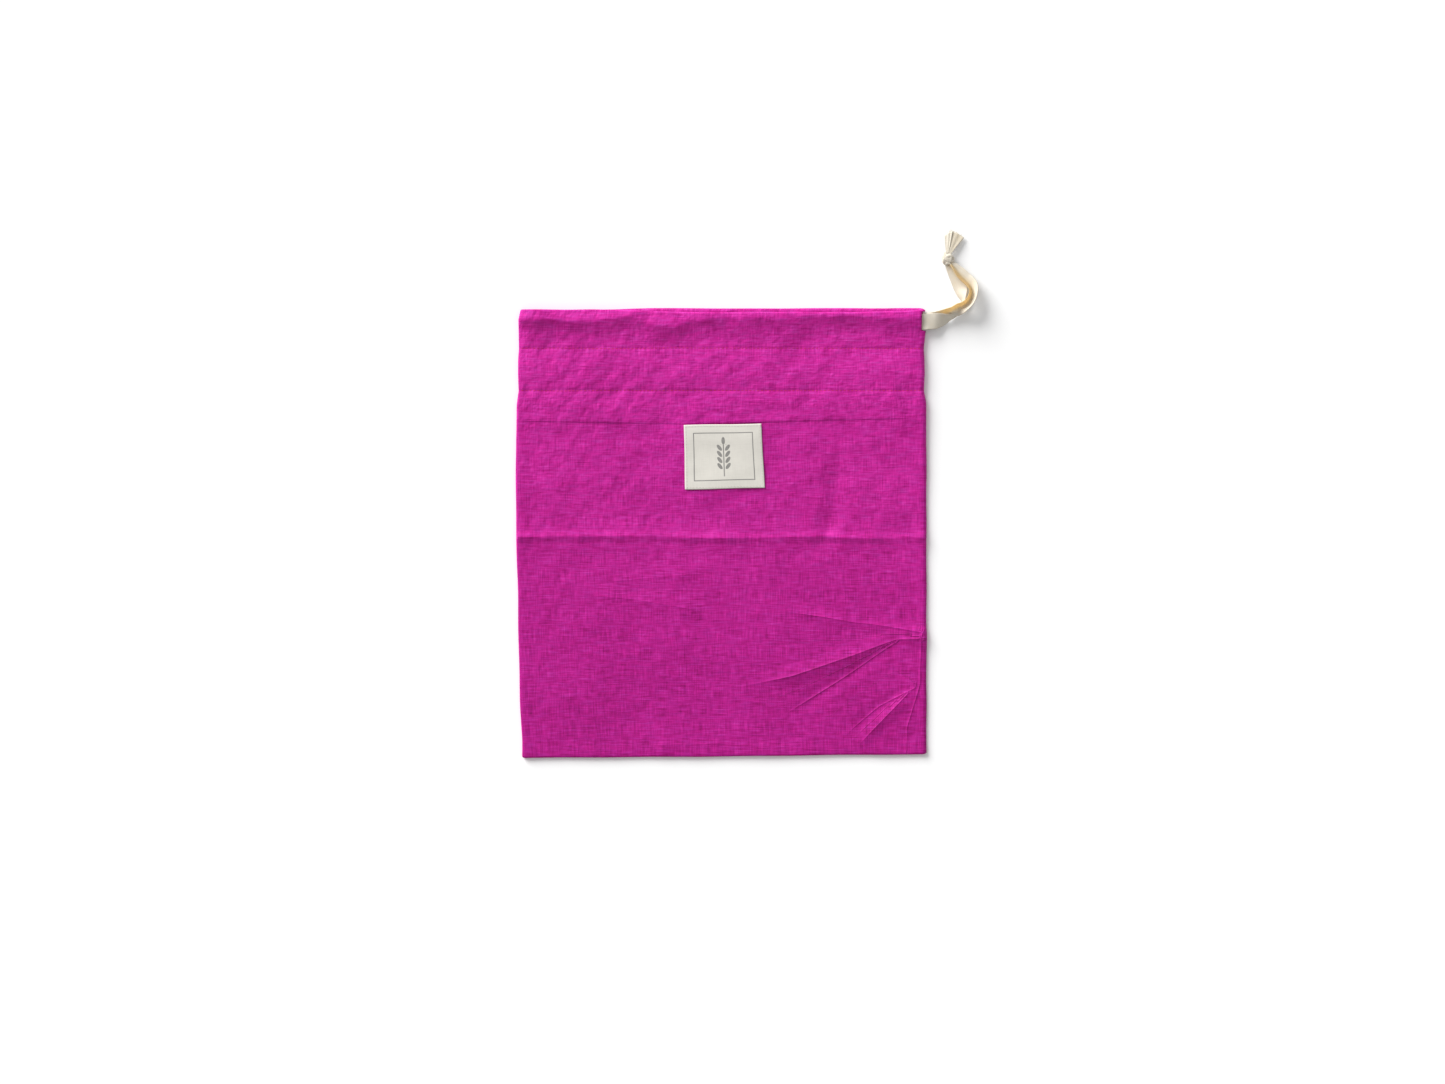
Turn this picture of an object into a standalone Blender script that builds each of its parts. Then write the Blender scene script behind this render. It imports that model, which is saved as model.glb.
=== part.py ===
"""Linen bread bag lying flat on its back: the cloth bag, its sewn label and its knotted cotton tape.

Metres, +Z up. The origin is the middle of the bag's flat back, +X runs towards the seam where the tape comes
out, and +Y towards the mouth. The sizes below are in millimetres, and MM turns them into metres.

The bag is one rectangle of linen, folded at the left, sewn along the bottom and up the right side. Its top is
turned inside as a deep hem with two rows of stitches, and the channel above the upper row holds the tape.
Heights are those of the middle of each layer of cloth, and every sheet is then given its thickness.
"""
import math
from collections import namedtuple

import bmesh
import bpy
import numpy as np

MM = 0.001
COLLECTION = "linen_bread_bag"

# Cloth and tape
CLOTH = 1.0            # thickness of one layer of linen
GAP = 0.3              # air between two layers that lie on each other
TAPE_WIDTH = 12.0
TAPE_THICK = 1.0
LABEL_THICK = 1.0
LAYER = CLOTH + GAP    # one layer to the next

# Heights of the layers in the hem, back to front
BACK = CLOTH / 2 + 0.01
BACK_FLAP = BACK + LAYER
FRONT_FLAP = BACK_FLAP + CLOTH + 0.4
FRONT_HEM = FRONT_FLAP + LAYER
LIFT = TAPE_THICK + GAP          # what one run of tape adds to its side of the casing

# Levels along the bag, measured from its middle
RIM_FRONT = 165.4
RIM_BACK = 166.1
SLOT_LOW = 149.8
TAPE_MIDDLE = 156.5
CASING_RIDGE = 161.5
RIDGE_RISE = 0.8
STITCH_UPPER = 136.7
STITCH_LOWER = 105.5
HEM_STEP = 0.8         # run of the step under the hem's turned edge
FLAP_END = 88.0
CREASE_Y = -2.6
FAN_TOP = -55.0
BOTTOM_Y = -166.1

# Folds and seams
FOLD_ANGLES = (54.0, 18.0, -18.0, -54.0)    # steps round a side fold, from front to back
BOTTOM_ANGLES = (25.0, 60.0, 90.0)
RIM_ANGLES = (90.0, 54.0, 18.0, -18.0, -54.0, -90.0)
RIM_REACH = 1.3        # how far the rim's fold reaches past its centre
SEAM_LIP = 1.3         # the back layer reaches this far past the front at the side seam
SEAM_BULGE = 2.05
SLOT_SETBACK = 2.6     # the flap stops this far short of the slot, so that the tape can turn out
CORNER = 2.5           # rounding of the two bottom corners

# Grid of the bag: wide columns on the left, narrow ones where the creases fan out
WIDE_COLUMNS, WIDE_SHARE = 7, 0.595
FINE_COLUMNS = 17
BACK_STEP = 3          # the plain back keeps every third column

Edge = namedtuple("Edge", "y left right")
OUTLINE = (
    Edge(-166.1, -147.6, 152.1),
    Edge(-152.8, -147.6, 152.1),
    Edge(-123.2, -149.1, 152.1),
    Edge(-93.6, -149.9, 152.1),
    Edge(-49.2, -150.6, 152.1),
    Edge(10.0, -152.1, 152.1),
    Edge(69.2, -152.1, 152.1),
    Edge(94.4, -151.3, 151.8),
    Edge(105.5, -149.9, 150.3),
    Edge(118.0, -150.6, 151.0),
    Edge(128.4, -150.6, 150.6),
    Edge(137.0, -149.9, 149.9),
    Edge(149.8, -149.9, 151.6),
    Edge(158.0, -149.9, 151.8),
    Edge(163.9, -148.6, 151.6),
)

Level = namedtuple("Level", "x y")
BOTTOM_LINE = (
    Level(-152, -166.1),
    Level(-90, -165.6),
    Level(0, -165.0),
    Level(90, -163.8),
    Level(152, -163.4),
)
HEM_LINE = (
    Level(-152, 83.5),
    Level(-28, 81.5),
    Level(30, 82.7),
    Level(90, 84.5),
    Level(152, 85.8),
)
HEM_MIDDLE = 82.5      # level of the rows that are bent to follow the hem's edge
HEM_FOLLOW = 22.0      # rows this near to it follow the edge, the nearest ones fully
FOLLOW_GROWTH = 1.6    # how fast they come to follow it
BOTTOM_FOLLOW = (-95.0, 60.0)    # rows below the first level bend to the bottom edge, fully this much lower
RIM_BACK_START, RIM_BACK_FULL = -90.0, -60.0    # where the back's rim begins to show above the front's

# Fullness of the cloth: rises in millimetres, and where each starts or fades
HEM_PUFF, EDGE_PUFF = 0.5, 0.25          # between the rows of stitches, and below the lower row
SEAM_FULL, SEAM_FULL_FROM, SEAM_FULL_RUN = 0.3, 138.0, 14.0
BOTTOM_FULL, BOTTOM_FULL_FROM, BOTTOM_FULL_RUN = 0.25, 152.0, 10.0
WAVE_END, WAVE_FADE = 150.0, 25.0        # the hem's waves fade towards the side folds
INSIDE_AIR = 0.4                         # the front never comes nearer to the back than this

Slack = namedtuple("Slack", "y z")
BODY_HEIGHTS = (Slack(-166, 2.3), Slack(-120, 2.4), Slack(-60, 2.6), Slack(-10, 2.9), Slack(20, 3.0),
                Slack(55, 3.5), Slack(86, 4.0))

# Creases: a line in plan, the rise of its crest (negative for a trough) and the reach of its two flanks
Crease = namedtuple("Crease", "name rise reach line")
CREASES = (
    Crease("middle", 1.1, 13.0, ((-170, -2.0), (-60, -2.6), (60, -2.9), (170, -3.4))),
    Crease("fan_upper", 0.55, 11.0, ((38.9, -56.6), (95.0, -64.5), (148.4, -72.4))),
    Crease("fan_ridge", 0.75, 12.0, ((7.0, -115.1), (51.4, -105.5), (129.9, -77.9), (148.0, -77.0))),
    Crease("fan_trough", -0.65, 12.0, ((43.0, -136.2), (85.9, -109.2), (112.9, -90.7), (129.9, -79.5))),
    Crease("corner_trough", -0.6, 9.0, ((89.6, -150.9), (116.6, -127.7), (142.5, -113.6))),
    Crease("corner_ridge", 0.7, 9.0, ((99.5, -158.3), (116.6, -141.0), (141.0, -114.1))),
    Crease("left_upper", 0.3, 10.0, ((-89.2, -35.9), (-29.2, -31.5))),
    Crease("left_lower", 0.35, 10.0, ((-100.3, -45.5), (-67.0, -48.5), (-25.5, -55.9))),
    Crease("slack_trough", -0.45, 14.0, ((87.7, 66.0), (84.0, 24.8), (76.6, -4.8))),
)

# Label
LABEL_CORNERS = ((-27.8, 80.1), (29.3, 81.1), (31.9, 33.8), (-26.9, 32.4))    # clockwise from the top left
LABEL_LIFT = CLOTH / 2 + 0.4 + LABEL_THICK / 2

# Tape ends. Each row is one section of the folded tape: the middle of its width seen from above, the height
# of its lowest point, its width when flat, and the lean of its inner and outer halves in degrees. A half with
# a positive lean rises towards the inside of the bend.
Section = namedtuple("Section", "x y low width inner outer")
UPPER_END = (
    Section(147.3, 156.5, 1.8, 12.0, 0, 0),
    Section(149.8, 156.5, 1.8, 12.0, 0, 0),
    Section(152.6, 156.8, 1.0, 12.0, 12, 12),
    Section(156.2, 157.9, 0.6, 12.0, 32, 32),
    Section(159.8, 159.4, 0.6, 12.0, 50, 49),
    Section(163.6, 161.2, 0.7, 12.0, 62, 60),
    Section(167.2, 163.2, 2.8, 10.5, 66, 62),
    Section(170.6, 164.8, 5.6, 9.0, 68, 50),
    Section(174.2, 165.8, 7.4, 10.5, 66, -14),
    Section(178.0, 166.8, 7.4, 12.0, 65, -62),
    Section(183.1, 171.2, 6.6, 12.0, 67, -67),
    Section(185.2, 175.6, 6.0, 12.0, 67, -67),
    Section(185.8, 180.2, 5.4, 12.0, 66, -62),
    Section(184.8, 184.4, 5.4, 12.0, 62, -20),
    Section(181.9, 188.6, 5.2, 12.0, 55, 25),
    Section(178.2, 192.4, 4.4, 11.0, 50, 40),
    Section(174.2, 195.9, 3.9, 8.0, 42, 38),
    Section(170.8, 199.0, 4.3, 5.0, 35, 35),
)
LOWER_END = (
    Section(147.3, 156.5, 5.8, 12.0, 0, 0),
    Section(149.8, 156.5, 5.7, 12.0, 0, 0),
    Section(152.6, 156.4, 4.8, 12.0, 12, 12),
    Section(156.2, 156.4, 2.9, 12.0, 30, 30),
    Section(159.8, 156.8, 1.6, 11.5, 45, 46),
    Section(163.6, 157.7, 0.8, 10.0, 52, 54),
    Section(170.6, 159.4, 0.6, 5.0, 52, 54),
    Section(176.4, 163.2, 0.6, 4.6, 74, 74),
    Section(178.4, 168.0, 0.6, 4.2, 92, 92),
    Section(178.2, 172.2, 0.6, 6.0, 115, 115),
    Section(177.4, 176.6, 0.6, 9.5, 136, 136),
    Section(176.2, 182.0, 0.6, 11.5, 150, 150),
    Section(173.2, 188.0, 0.7, 10.5, 152, 152),
    Section(169.7, 193.6, 1.4, 7.5, 155, 155),
    Section(167.3, 198.1, 2.3, 5.0, 160, 160),
)
END_SAMPLES = 24
END_ACROSS = 6
FOLD_SHARPNESS = 3.5   # how suddenly a tape end bends along its middle

# Knot and tails
KNOT_CENTRE = (167.2, 203.4, 4.75)
KNOT_CORE = 4.2
Turn = namedtuple("Turn", "pole width rise")
KNOT_TURNS = (
    Turn((0.62, 0.66, 0.42), 0.42, 0.75),
    Turn((-0.78, 0.30, 0.55), 0.40, 0.70),
    Turn((0.10, -0.35, 0.93), 0.34, 0.55),
)
Tail = namedtuple("Tail", "name root tip_left tip_right pleats")
TAILS = (
    Tail("tape_tail_left", (166.2, 208.7), (165.2, 219.9), (169.5, 222.7), 2),
    Tail("tape_tail_right", (169.8, 208.7), (171.4, 223.2), (178.8, 218.7), 3),
)
TAIL_ROOT_WIDTH = 2.5
TAIL_ROOT_Z, TAIL_TIP_Z = 4.6, 2.2
PLEAT_RISE = 0.8
PLEAT_GROWTH = 1.3                   # how soon along the tail the pleats have their full rise
TAIL_ROWS = 7
TAIL_EVEN, TAIL_FLARE = 0.35, 1.4    # share of the tail that opens evenly, and how late the rest opens
TAIL_CROWN = 0.9                     # how far the middle of the cut end stands past its corners

Finish = namedtuple("Finish", "name colour roughness")
LINEN = Finish("magenta_linen", (0.50, 0.022, 0.27, 1), 0.85)
COTTON_LABEL = Finish("cream_cotton_label", (0.72, 0.69, 0.62, 1), 0.9)
COTTON_TAPE = Finish("cream_cotton_tape", (0.70, 0.60, 0.45, 1), 0.9)


def column(rows, name):
    """One named column of a table as an array."""
    return np.array([getattr(row, name) for row in rows], float)


def smooth(t):
    """0 below 0, 1 above 1, and a smooth step between."""
    t = np.clip(t, 0.0, 1.0)
    return t * t * (3.0 - 2.0 * t)


def line_level(rows, x):
    """Height along a line that runs across the bag, at x."""
    return np.interp(x, column(rows, "x"), column(rows, "y"))


def distance_to_line(x, y, line):
    """Distance in plan from each point to a line of straight runs."""
    best = np.full(np.broadcast(x, y).shape, np.inf)
    for (x0, y0), (x1, y1) in zip(line[:-1], line[1:]):
        dx, dy = x1 - x0, y1 - y0
        t = np.clip(((x - x0) * dx + (y - y0) * dy) / (dx * dx + dy * dy), 0.0, 1.0)
        best = np.minimum(best, np.hypot(x - x0 - t * dx, y - y0 - t * dy))
    return best


def casing_lift(y):
    """1 where the tape lies in the casing, falling to 0 at the upper row of stitches."""
    return smooth((y - STITCH_UPPER) / (SLOT_LOW - STITCH_UPPER))


def hem_wave(x, y):
    """Gentle unevenness that all the layers of the hem share, none at the side folds."""
    side = smooth((WAVE_END - np.abs(x)) / WAVE_FADE)
    return side * (0.22 + 0.13 * np.sin(x / 17.0 + 0.6) + 0.08 * np.cos(x / 8.5 + y / 21.0))


def hem_height(x, y):
    """Front of the hem: puffed between its stitches, and ridged over the casing's tape."""
    between = np.clip((y - STITCH_LOWER) / (STITCH_UPPER - STITCH_LOWER), 0.0, 1.0)
    below = np.clip((STITCH_LOWER - y) / (STITCH_LOWER - FLAP_END), 0.0, 1.0)
    puff = HEM_PUFF * np.sin(math.pi * between) + EDGE_PUFF * np.sin(math.pi * below)
    ridge = RIDGE_RISE * np.clip((y - SLOT_LOW) / (CASING_RIDGE - SLOT_LOW), 0.0, 1.0)
    return FRONT_HEM + 2.0 * LIFT * casing_lift(y) + ridge + puff + hem_wave(x, y)


def body_height(x, y):
    """Front of the bag below the hem: slack cloth with its creases, a little fuller along the seams."""
    z = np.interp(y, column(BODY_HEIGHTS, "y"), column(BODY_HEIGHTS, "z"))
    z = z + 0.14 * np.sin(x / 31.0 + 0.7) * np.cos(y / 27.0) + 0.08 * np.sin(x / 13.0 + y / 19.0)
    z = z + SEAM_FULL * smooth((np.abs(x) - SEAM_FULL_FROM) / SEAM_FULL_RUN)
    z = z + BOTTOM_FULL * smooth((-BOTTOM_FULL_FROM - y) / BOTTOM_FULL_RUN)
    for crease in CREASES:
        flank = np.clip(1.0 - distance_to_line(x, y, crease.line) / crease.reach, 0.0, 1.0)
        z = z + crease.rise * flank
    return np.maximum(z, BACK + CLOTH + INSIDE_AIR)


def front_height(x, y):
    """Height of the middle of the front cloth anywhere on the bag, with the step under the hem's edge."""
    hem = smooth((y - line_level(HEM_LINE, x) + HEM_STEP) / HEM_STEP)
    return body_height(x, y) * (1.0 - hem) + hem_height(x, y) * hem


def warped_level(x, y):
    """A row's level at x: the bottom rows follow the bottom edge, and the rows at the hem its turned edge."""
    start, run = BOTTOM_FOLLOW
    bottom = (line_level(BOTTOM_LINE, x) - BOTTOM_Y) * np.clip((start - y) / run, 0.0, 1.0)
    near_hem = np.clip(1.0 - abs(y - HEM_MIDDLE) / HEM_FOLLOW, 0.0, 1.0)
    return y + bottom + (line_level(HEM_LINE, x) - HEM_MIDDLE) * min(1.0, FOLLOW_GROWTH * near_hem)


def column_shares():
    """Places of the columns across the front, 0 at the left fold and 1 at the seam."""
    wide = np.linspace(0.0, WIDE_SHARE, WIDE_COLUMNS + 1)
    fine = np.linspace(WIDE_SHARE, 1.0, FINE_COLUMNS + 1)
    return np.concatenate([wide, fine[1:]])


def sides(y):
    """Centres of the left and right folds of the outer cloth at y, and its folds' radius."""
    left = np.interp(y, column(OUTLINE, "y"), column(OUTLINE, "left"))
    right = np.interp(y, column(OUTLINE, "y"), column(OUTLINE, "right"))
    radius_left = (front_height(left, y) - BACK) / 2.0
    radius_right = (front_height(right, y) - BACK) / 2.0
    centre_left = left + CLOTH / 2 + radius_left
    centre_right = right - CLOTH / 2 - min(radius_right, SEAM_BULGE) - SEAM_LIP
    return centre_left, centre_right


def ring(centre_left, centre_right, bulge, lip, front, back):
    """One closed ring round the bag: front left to right, seam, back right to left, left fold.

    front and back give (y, z) at given x. The side folds are half ellipses between the ends of both.
    """
    share = column_shares()
    x_front = centre_left + (centre_right - centre_left) * share
    x_back = (centre_left + (centre_right + lip - centre_left) * share)[::BACK_STEP][::-1]
    y_front, z_front = front(x_front)
    y_back, z_back = back(x_back)
    angles = np.radians(FOLD_ANGLES)
    up, out = np.sin(angles), np.cos(angles)

    def between(at_front, at_back, weight):
        return (at_front + at_back) / 2 + (at_front - at_back) / 2 * weight

    seam = np.column_stack([
        centre_right + bulge * out + lip * (1.0 - up) / 2.0,
        between(y_front[-1], y_back[0], up),
        between(z_front[-1], z_back[0], up),
    ])
    radius = (z_front[0] - z_back[-1]) / 2.0
    fold = np.column_stack([
        centre_left - radius * out,
        between(y_front[0], y_back[-1], up),
        between(z_front[0], z_back[-1], up),
    ])[::-1]
    return np.vstack([
        np.column_stack([x_front, y_front, z_front]), seam,
        np.column_stack([x_back, y_back, z_back]), fold,
    ])


def outer_ring(y):
    """A ring of the outer cloth at level y."""
    centre_left, centre_right = sides(y)
    radius = (front_height(centre_right, y) - BACK) / 2.0
    return ring(
        centre_left, centre_right, min(radius, SEAM_BULGE), SEAM_LIP,
        lambda x: (warped_level(x, y), front_height(x, warped_level(x, y))),
        lambda x: (warped_level(x, y), np.full(x.shape, BACK)),
    )


def bottom_ring(angle):
    """A ring of the rounded bottom edge: at 0 degrees front and back would meet."""
    lift, reach = math.sin(math.radians(angle)), 1.0 - math.cos(math.radians(angle))
    centre_left, centre_right = sides(BOTTOM_Y)
    inset = CORNER * (1.0 - lift) * 0.8
    radius = (front_height(centre_right, BOTTOM_Y + CORNER) - BACK) / 2.0

    def level(x):
        return line_level(BOTTOM_LINE, x) + CLOTH / 2 + radius * reach

    def front(x):
        top = front_height(x, BOTTOM_Y + CORNER)
        return level(x), (top + BACK) / 2 + (top - BACK) / 2 * lift

    def back(x):
        top = front_height(x, BOTTOM_Y + CORNER)
        return level(x), (top + BACK) / 2 - (top - BACK) / 2 * lift + 0.05 * (1.0 - lift)

    return ring(centre_left + inset, centre_right - inset, radius * lift, SEAM_LIP, front, back)


def rim_ring(angle):
    """A ring of the fold over the mouth, from the outer cloth at 90 degrees to the flap at -90."""
    up, out = math.sin(math.radians(angle)), math.cos(math.radians(angle))
    y_front = RIM_FRONT - CLOTH / 2 - RIM_REACH

    def front(x):
        outer, flap = hem_height(x, y_front), FRONT_FLAP + LIFT + hem_wave(x, y_front)
        return np.full(x.shape, y_front + RIM_REACH * out), (outer + flap) / 2 + (outer - flap) / 2 * up

    def back(x):
        shown = smooth((x - RIM_BACK_START) / (RIM_BACK_FULL - RIM_BACK_START))
        y = y_front + (RIM_BACK - RIM_FRONT) * shown + RIM_REACH * out
        flap = BACK_FLAP + LIFT
        return y, np.full(x.shape, (BACK + flap) / 2 - (flap - BACK) / 2 * up)

    centre_left, centre_right = sides(y_front)
    outer_share = (1.0 + up) / 2.0
    centre_right -= SLOT_SETBACK * (1.0 - outer_share)
    bulge = SEAM_BULGE * outer_share + (FRONT_FLAP - BACK_FLAP) / 2 * (1.0 - outer_share)
    return ring(centre_left, centre_right, bulge, SEAM_LIP * outer_share, front, back)


def flap_ring(y):
    """A ring of the hem's flap inside the bag, at level y."""
    centre_left, centre_right = sides(y)
    lift = LIFT * casing_lift(y)
    half = (FRONT_FLAP - BACK_FLAP) / 2
    return ring(
        centre_left, centre_right - SLOT_SETBACK * casing_lift(y), half, 0.0,
        lambda x: (warped_level(x, y), FRONT_FLAP + lift + hem_wave(x, y)),
        lambda x: (warped_level(x, y), np.full(x.shape, BACK_FLAP + lift)),
    )


def bag_rings():
    """The rings from the bottom edge up the outside, over the rim and down the flap, and the slot's rows."""
    fan = np.linspace(BOTTOM_Y + 7.5, FAN_TOP, 15)
    slack = (-46.0, -34.0, -23.0, -14.0)
    crease = (-9.0, -5.5, CREASE_Y, 0.8, 4.5, 11.0)
    above = (24.0, 40.0, 56.0, 72.0)
    hem = (HEM_MIDDLE - HEM_STEP, HEM_MIDDLE, FLAP_END, 96.0, STITCH_LOWER, 113.0, 121.0, 129.0, STITCH_UPPER)
    casing = (140.5, 145.0, SLOT_LOW, 156.0, CASING_RIDGE)
    levels = [*fan, *slack, *crease, *above, *hem, *casing]
    rings = [bottom_ring(a) for a in BOTTOM_ANGLES] + [outer_ring(y) for y in levels]
    slot_first = len(BOTTOM_ANGLES) + levels.index(SLOT_LOW)
    slot_last = len(rings)
    rings += [rim_ring(a) for a in RIM_ANGLES]
    flap = (CASING_RIDGE, SLOT_LOW, 145.0, 140.5, STITCH_UPPER, 121.0, STITCH_LOWER, FLAP_END)
    rings += [flap_ring(y) for y in flap]
    return rings, slot_first, slot_last


def finish_material(finish):
    """A plain material in the piece's own colour."""
    material = bpy.data.materials.get(finish.name) or bpy.data.materials.new(finish.name)
    material.use_nodes = True
    shader = material.node_tree.nodes["Principled BSDF"]
    shader.inputs["Base Color"].default_value = finish.colour
    shader.inputs["Roughness"].default_value = finish.roughness
    shader.inputs["Metallic"].default_value = 0.0
    material.diffuse_color = finish.colour
    return material


def new_object(name, bm, finish, collection):
    """Turns a bmesh in millimetres into a named object in metres with its material, shaded smooth."""
    bmesh.ops.scale(bm, vec=(MM, MM, MM), verts=bm.verts)
    mesh = bpy.data.meshes.new(name)
    bm.to_mesh(mesh)
    bm.free()
    mesh.shade_smooth()
    mesh.set_sharp_from_angle(angle=math.radians(35))
    mesh.materials.append(finish_material(finish))
    obj = bpy.data.objects.new(name, mesh)
    collection.objects.link(obj)
    return obj


def thicken(obj, thickness):
    """Gives a sheet its thickness, half on each side."""
    solidify = obj.modifiers.new("thickness", "SOLIDIFY")
    solidify.thickness = thickness * MM
    solidify.offset = 0.0
    solidify.use_even_offset = True
    solidify.use_rim = True


def grid_sheet(points):
    """A bmesh of quads through a grid of points (rows, columns, 3)."""
    bm = bmesh.new()
    rows, columns = points.shape[:2]
    verts = [[bm.verts.new(points[i, j]) for j in range(columns)] for i in range(rows)]
    for i in range(rows - 1):
        for j in range(columns - 1):
            bm.faces.new((verts[i][j], verts[i][j + 1], verts[i + 1][j + 1], verts[i + 1][j]))
    return bm


def build_bag(collection):
    """The bag: rings of cloth joined to each other, closed at the bottom, open at the mouth and the slot."""
    rings, slot_first, slot_last = bag_rings()
    bm = bmesh.new()
    rows = [[bm.verts.new(p) for p in points] for points in rings]
    count = len(rows[0])
    front = WIDE_COLUMNS + FINE_COLUMNS + 1
    folds = len(FOLD_ANGLES)
    slot_columns = range(front - 1, front + folds)
    for i in range(len(rows) - 1):
        in_slot = slot_first <= i < slot_last
        for j in range(count):
            if in_slot and j in slot_columns:
                continue
            k = (j + 1) % count
            bm.faces.new((rows[i][j], rows[i][k], rows[i + 1][k], rows[i + 1][j]))
    first = rows[0]
    back_first = front + folds
    spans = (front - 1) // BACK_STEP
    for s in range(spans):
        near = first[s * BACK_STEP:(s + 1) * BACK_STEP + 1]
        right, left = first[back_first + spans - s - 1], first[back_first + spans - s]
        bm.faces.new([left, right, *reversed(near)])
    bm.faces.new([*reversed(first[front - 1:front + folds + 1])])
    bm.faces.new([first[0], *reversed(first[back_first + spans:])])
    bmesh.ops.recalc_face_normals(bm, faces=bm.faces)
    bag = new_object("bag", bm, LINEN, collection)
    thicken(bag, CLOTH)
    return bag


def build_label(collection):
    """The label: a small rectangle of cotton that follows the front of the bag just below the hem."""
    corners = np.array(LABEL_CORNERS, float)
    u = np.linspace(0.0, 1.0, 8)[None, :, None]
    v = np.array([0.0, 0.18, 0.52, 0.85, 1.0])[:, None, None]
    top = corners[0] * (1 - u) + corners[1] * u
    bottom = corners[3] * (1 - u) + corners[2] * u
    plan = bottom * (1 - v) + top * v
    z = body_height(plan[..., 0], plan[..., 1]) + LABEL_LIFT
    label = new_object("label", grid_sheet(np.dstack([plan, z])), COTTON_LABEL, collection)
    thicken(label, LABEL_THICK)
    return label


def build_casing_tape(collection):
    """The hidden run of tape: from the slot along the front, round the left fold and back along the back."""
    across = TAPE_MIDDLE + TAPE_WIDTH / 2 * np.array([-1.0, 0.0, 1.0])
    end = LOWER_END[0].x - GAP
    rows = []
    for y in across:
        centre_left = float(sides(y)[0])
        x = centre_left + (end - centre_left) * column_shares()
        z_front = FRONT_FLAP + 2 * LIFT + hem_wave(x, y)
        z_back = BACK + LAYER
        radius, middle = (z_front[0] - z_back) / 2, (z_front[0] + z_back) / 2
        angles = np.radians(FOLD_ANGLES)
        turn = np.column_stack([
            centre_left - radius * np.cos(angles),
            np.full(angles.shape, y),
            middle + radius * np.sin(angles),
        ])
        front = np.column_stack([x, np.full(x.shape, y), z_front])[::-1]
        x_back = x[::BACK_STEP]
        back = np.column_stack([x_back, np.full(x_back.shape, y), np.full(x_back.shape, z_back)])
        rows.append(np.vstack([front, turn, back]))
    tape = new_object("tape_in_casing", grid_sheet(np.array(rows)), COTTON_TAPE, collection)
    thicken(tape, TAPE_THICK)
    return tape


def smooth_rows(table, samples):
    """Values read at even steps from a smooth curve through the rows of a table (Catmull-Rom)."""
    rows = np.array(table, float)
    padded = np.vstack([2 * rows[0] - rows[1], rows, 2 * rows[-1] - rows[-2]])
    place = np.linspace(0.0, len(rows) - 1.0, samples)
    i = np.minimum(place.astype(int), len(rows) - 2)
    t = (place - i)[:, None]
    a, b, c, d = (padded[i + k] for k in range(4))
    square, cube = 2 * a - 5 * b + 4 * c - d, 3 * b - a - 3 * c + d
    return 0.5 * (2 * b + (c - a) * t + square * t ** 2 + cube * t ** 3)


def tape_sections(table):
    """Grid of points of a folded tape end. Across it the lean turns from the outer half's to the inner's."""
    rows = smooth_rows(table, END_SAMPLES)
    x, y, low, width, inner, outer = rows.T
    heading = np.arctan2(np.gradient(y), np.gradient(x))
    inward = np.column_stack([-np.sin(heading), np.cos(heading)])
    step = width / END_ACROSS
    place = (np.arange(END_ACROSS) + 0.5) / END_ACROSS
    share = smooth(0.5 + FOLD_SHARPNESS * (place - 0.5))
    lean = np.radians(outer[:, None] * (1 - share) + inner[:, None] * share)
    along = np.cumsum(np.cos(lean) * step[:, None], axis=1)
    height = np.cumsum(np.sin(lean) * step[:, None], axis=1)
    along = np.hstack([np.zeros((len(x), 1)), along])
    height = np.hstack([np.zeros((len(x), 1)), height])
    along -= (along.min(axis=1) + along.max(axis=1))[:, None] / 2
    height += (low - height.min(axis=1))[:, None]
    plan = np.column_stack([x, y])[:, None, :] + along[..., None] * inward[:, None, :]
    return np.dstack([plan, height])


def build_tape_end(name, table, collection):
    """One end of the tape, from inside the slot to the knot."""
    tape = new_object(name, grid_sheet(tape_sections(table)), COTTON_TAPE, collection)
    thicken(tape, TAPE_THICK)
    return tape


def build_knot(collection):
    """The overhand knot: a round core with its turns of tape standing proud as rounded bands."""
    bm = bmesh.new()
    bmesh.ops.create_uvsphere(bm, u_segments=26, v_segments=15, radius=1.0)
    for vert in bm.verts:
        direction = vert.co.normalized()
        radius = KNOT_CORE
        for turn in KNOT_TURNS:
            off = abs(sum(a * b for a, b in zip(direction, turn.pole)))
            radius = max(radius, KNOT_CORE + turn.rise * (1.0 - (off / turn.width) ** 2))
        vert.co = [c + d * radius for c, d in zip(KNOT_CENTRE, direction)]
    return new_object("tape_knot", bm, COTTON_TAPE, collection)


def grid_slab(points, thickness):
    """A closed bmesh of a sheet whose two faces stand straight above and below a grid of points."""
    rows, columns = points.shape[:2]
    bm = bmesh.new()
    half = np.array([0.0, 0.0, thickness / 2])
    lower, upper = ([[bm.verts.new(points[i, j] + shift) for j in range(columns)] for i in range(rows)]
                    for shift in (-half, half))
    for i in range(rows - 1):
        for j in range(columns - 1):
            bm.faces.new((upper[i][j], upper[i][j + 1], upper[i + 1][j + 1], upper[i + 1][j]))
            bm.faces.new((lower[i][j], lower[i + 1][j], lower[i + 1][j + 1], lower[i][j + 1]))
    border = [(0, j) for j in range(columns)] + [(i, columns - 1) for i in range(1, rows)]
    border += [(rows - 1, j) for j in range(columns - 2, -1, -1)] + [(i, 0) for i in range(rows - 2, 0, -1)]
    for (i, j), (k, l) in zip(border, border[1:] + border[:1]):
        bm.faces.new((lower[i][j], lower[k][l], upper[k][l], upper[i][j]))
    bmesh.ops.recalc_face_normals(bm, faces=bm.faces)
    return bm


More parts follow.
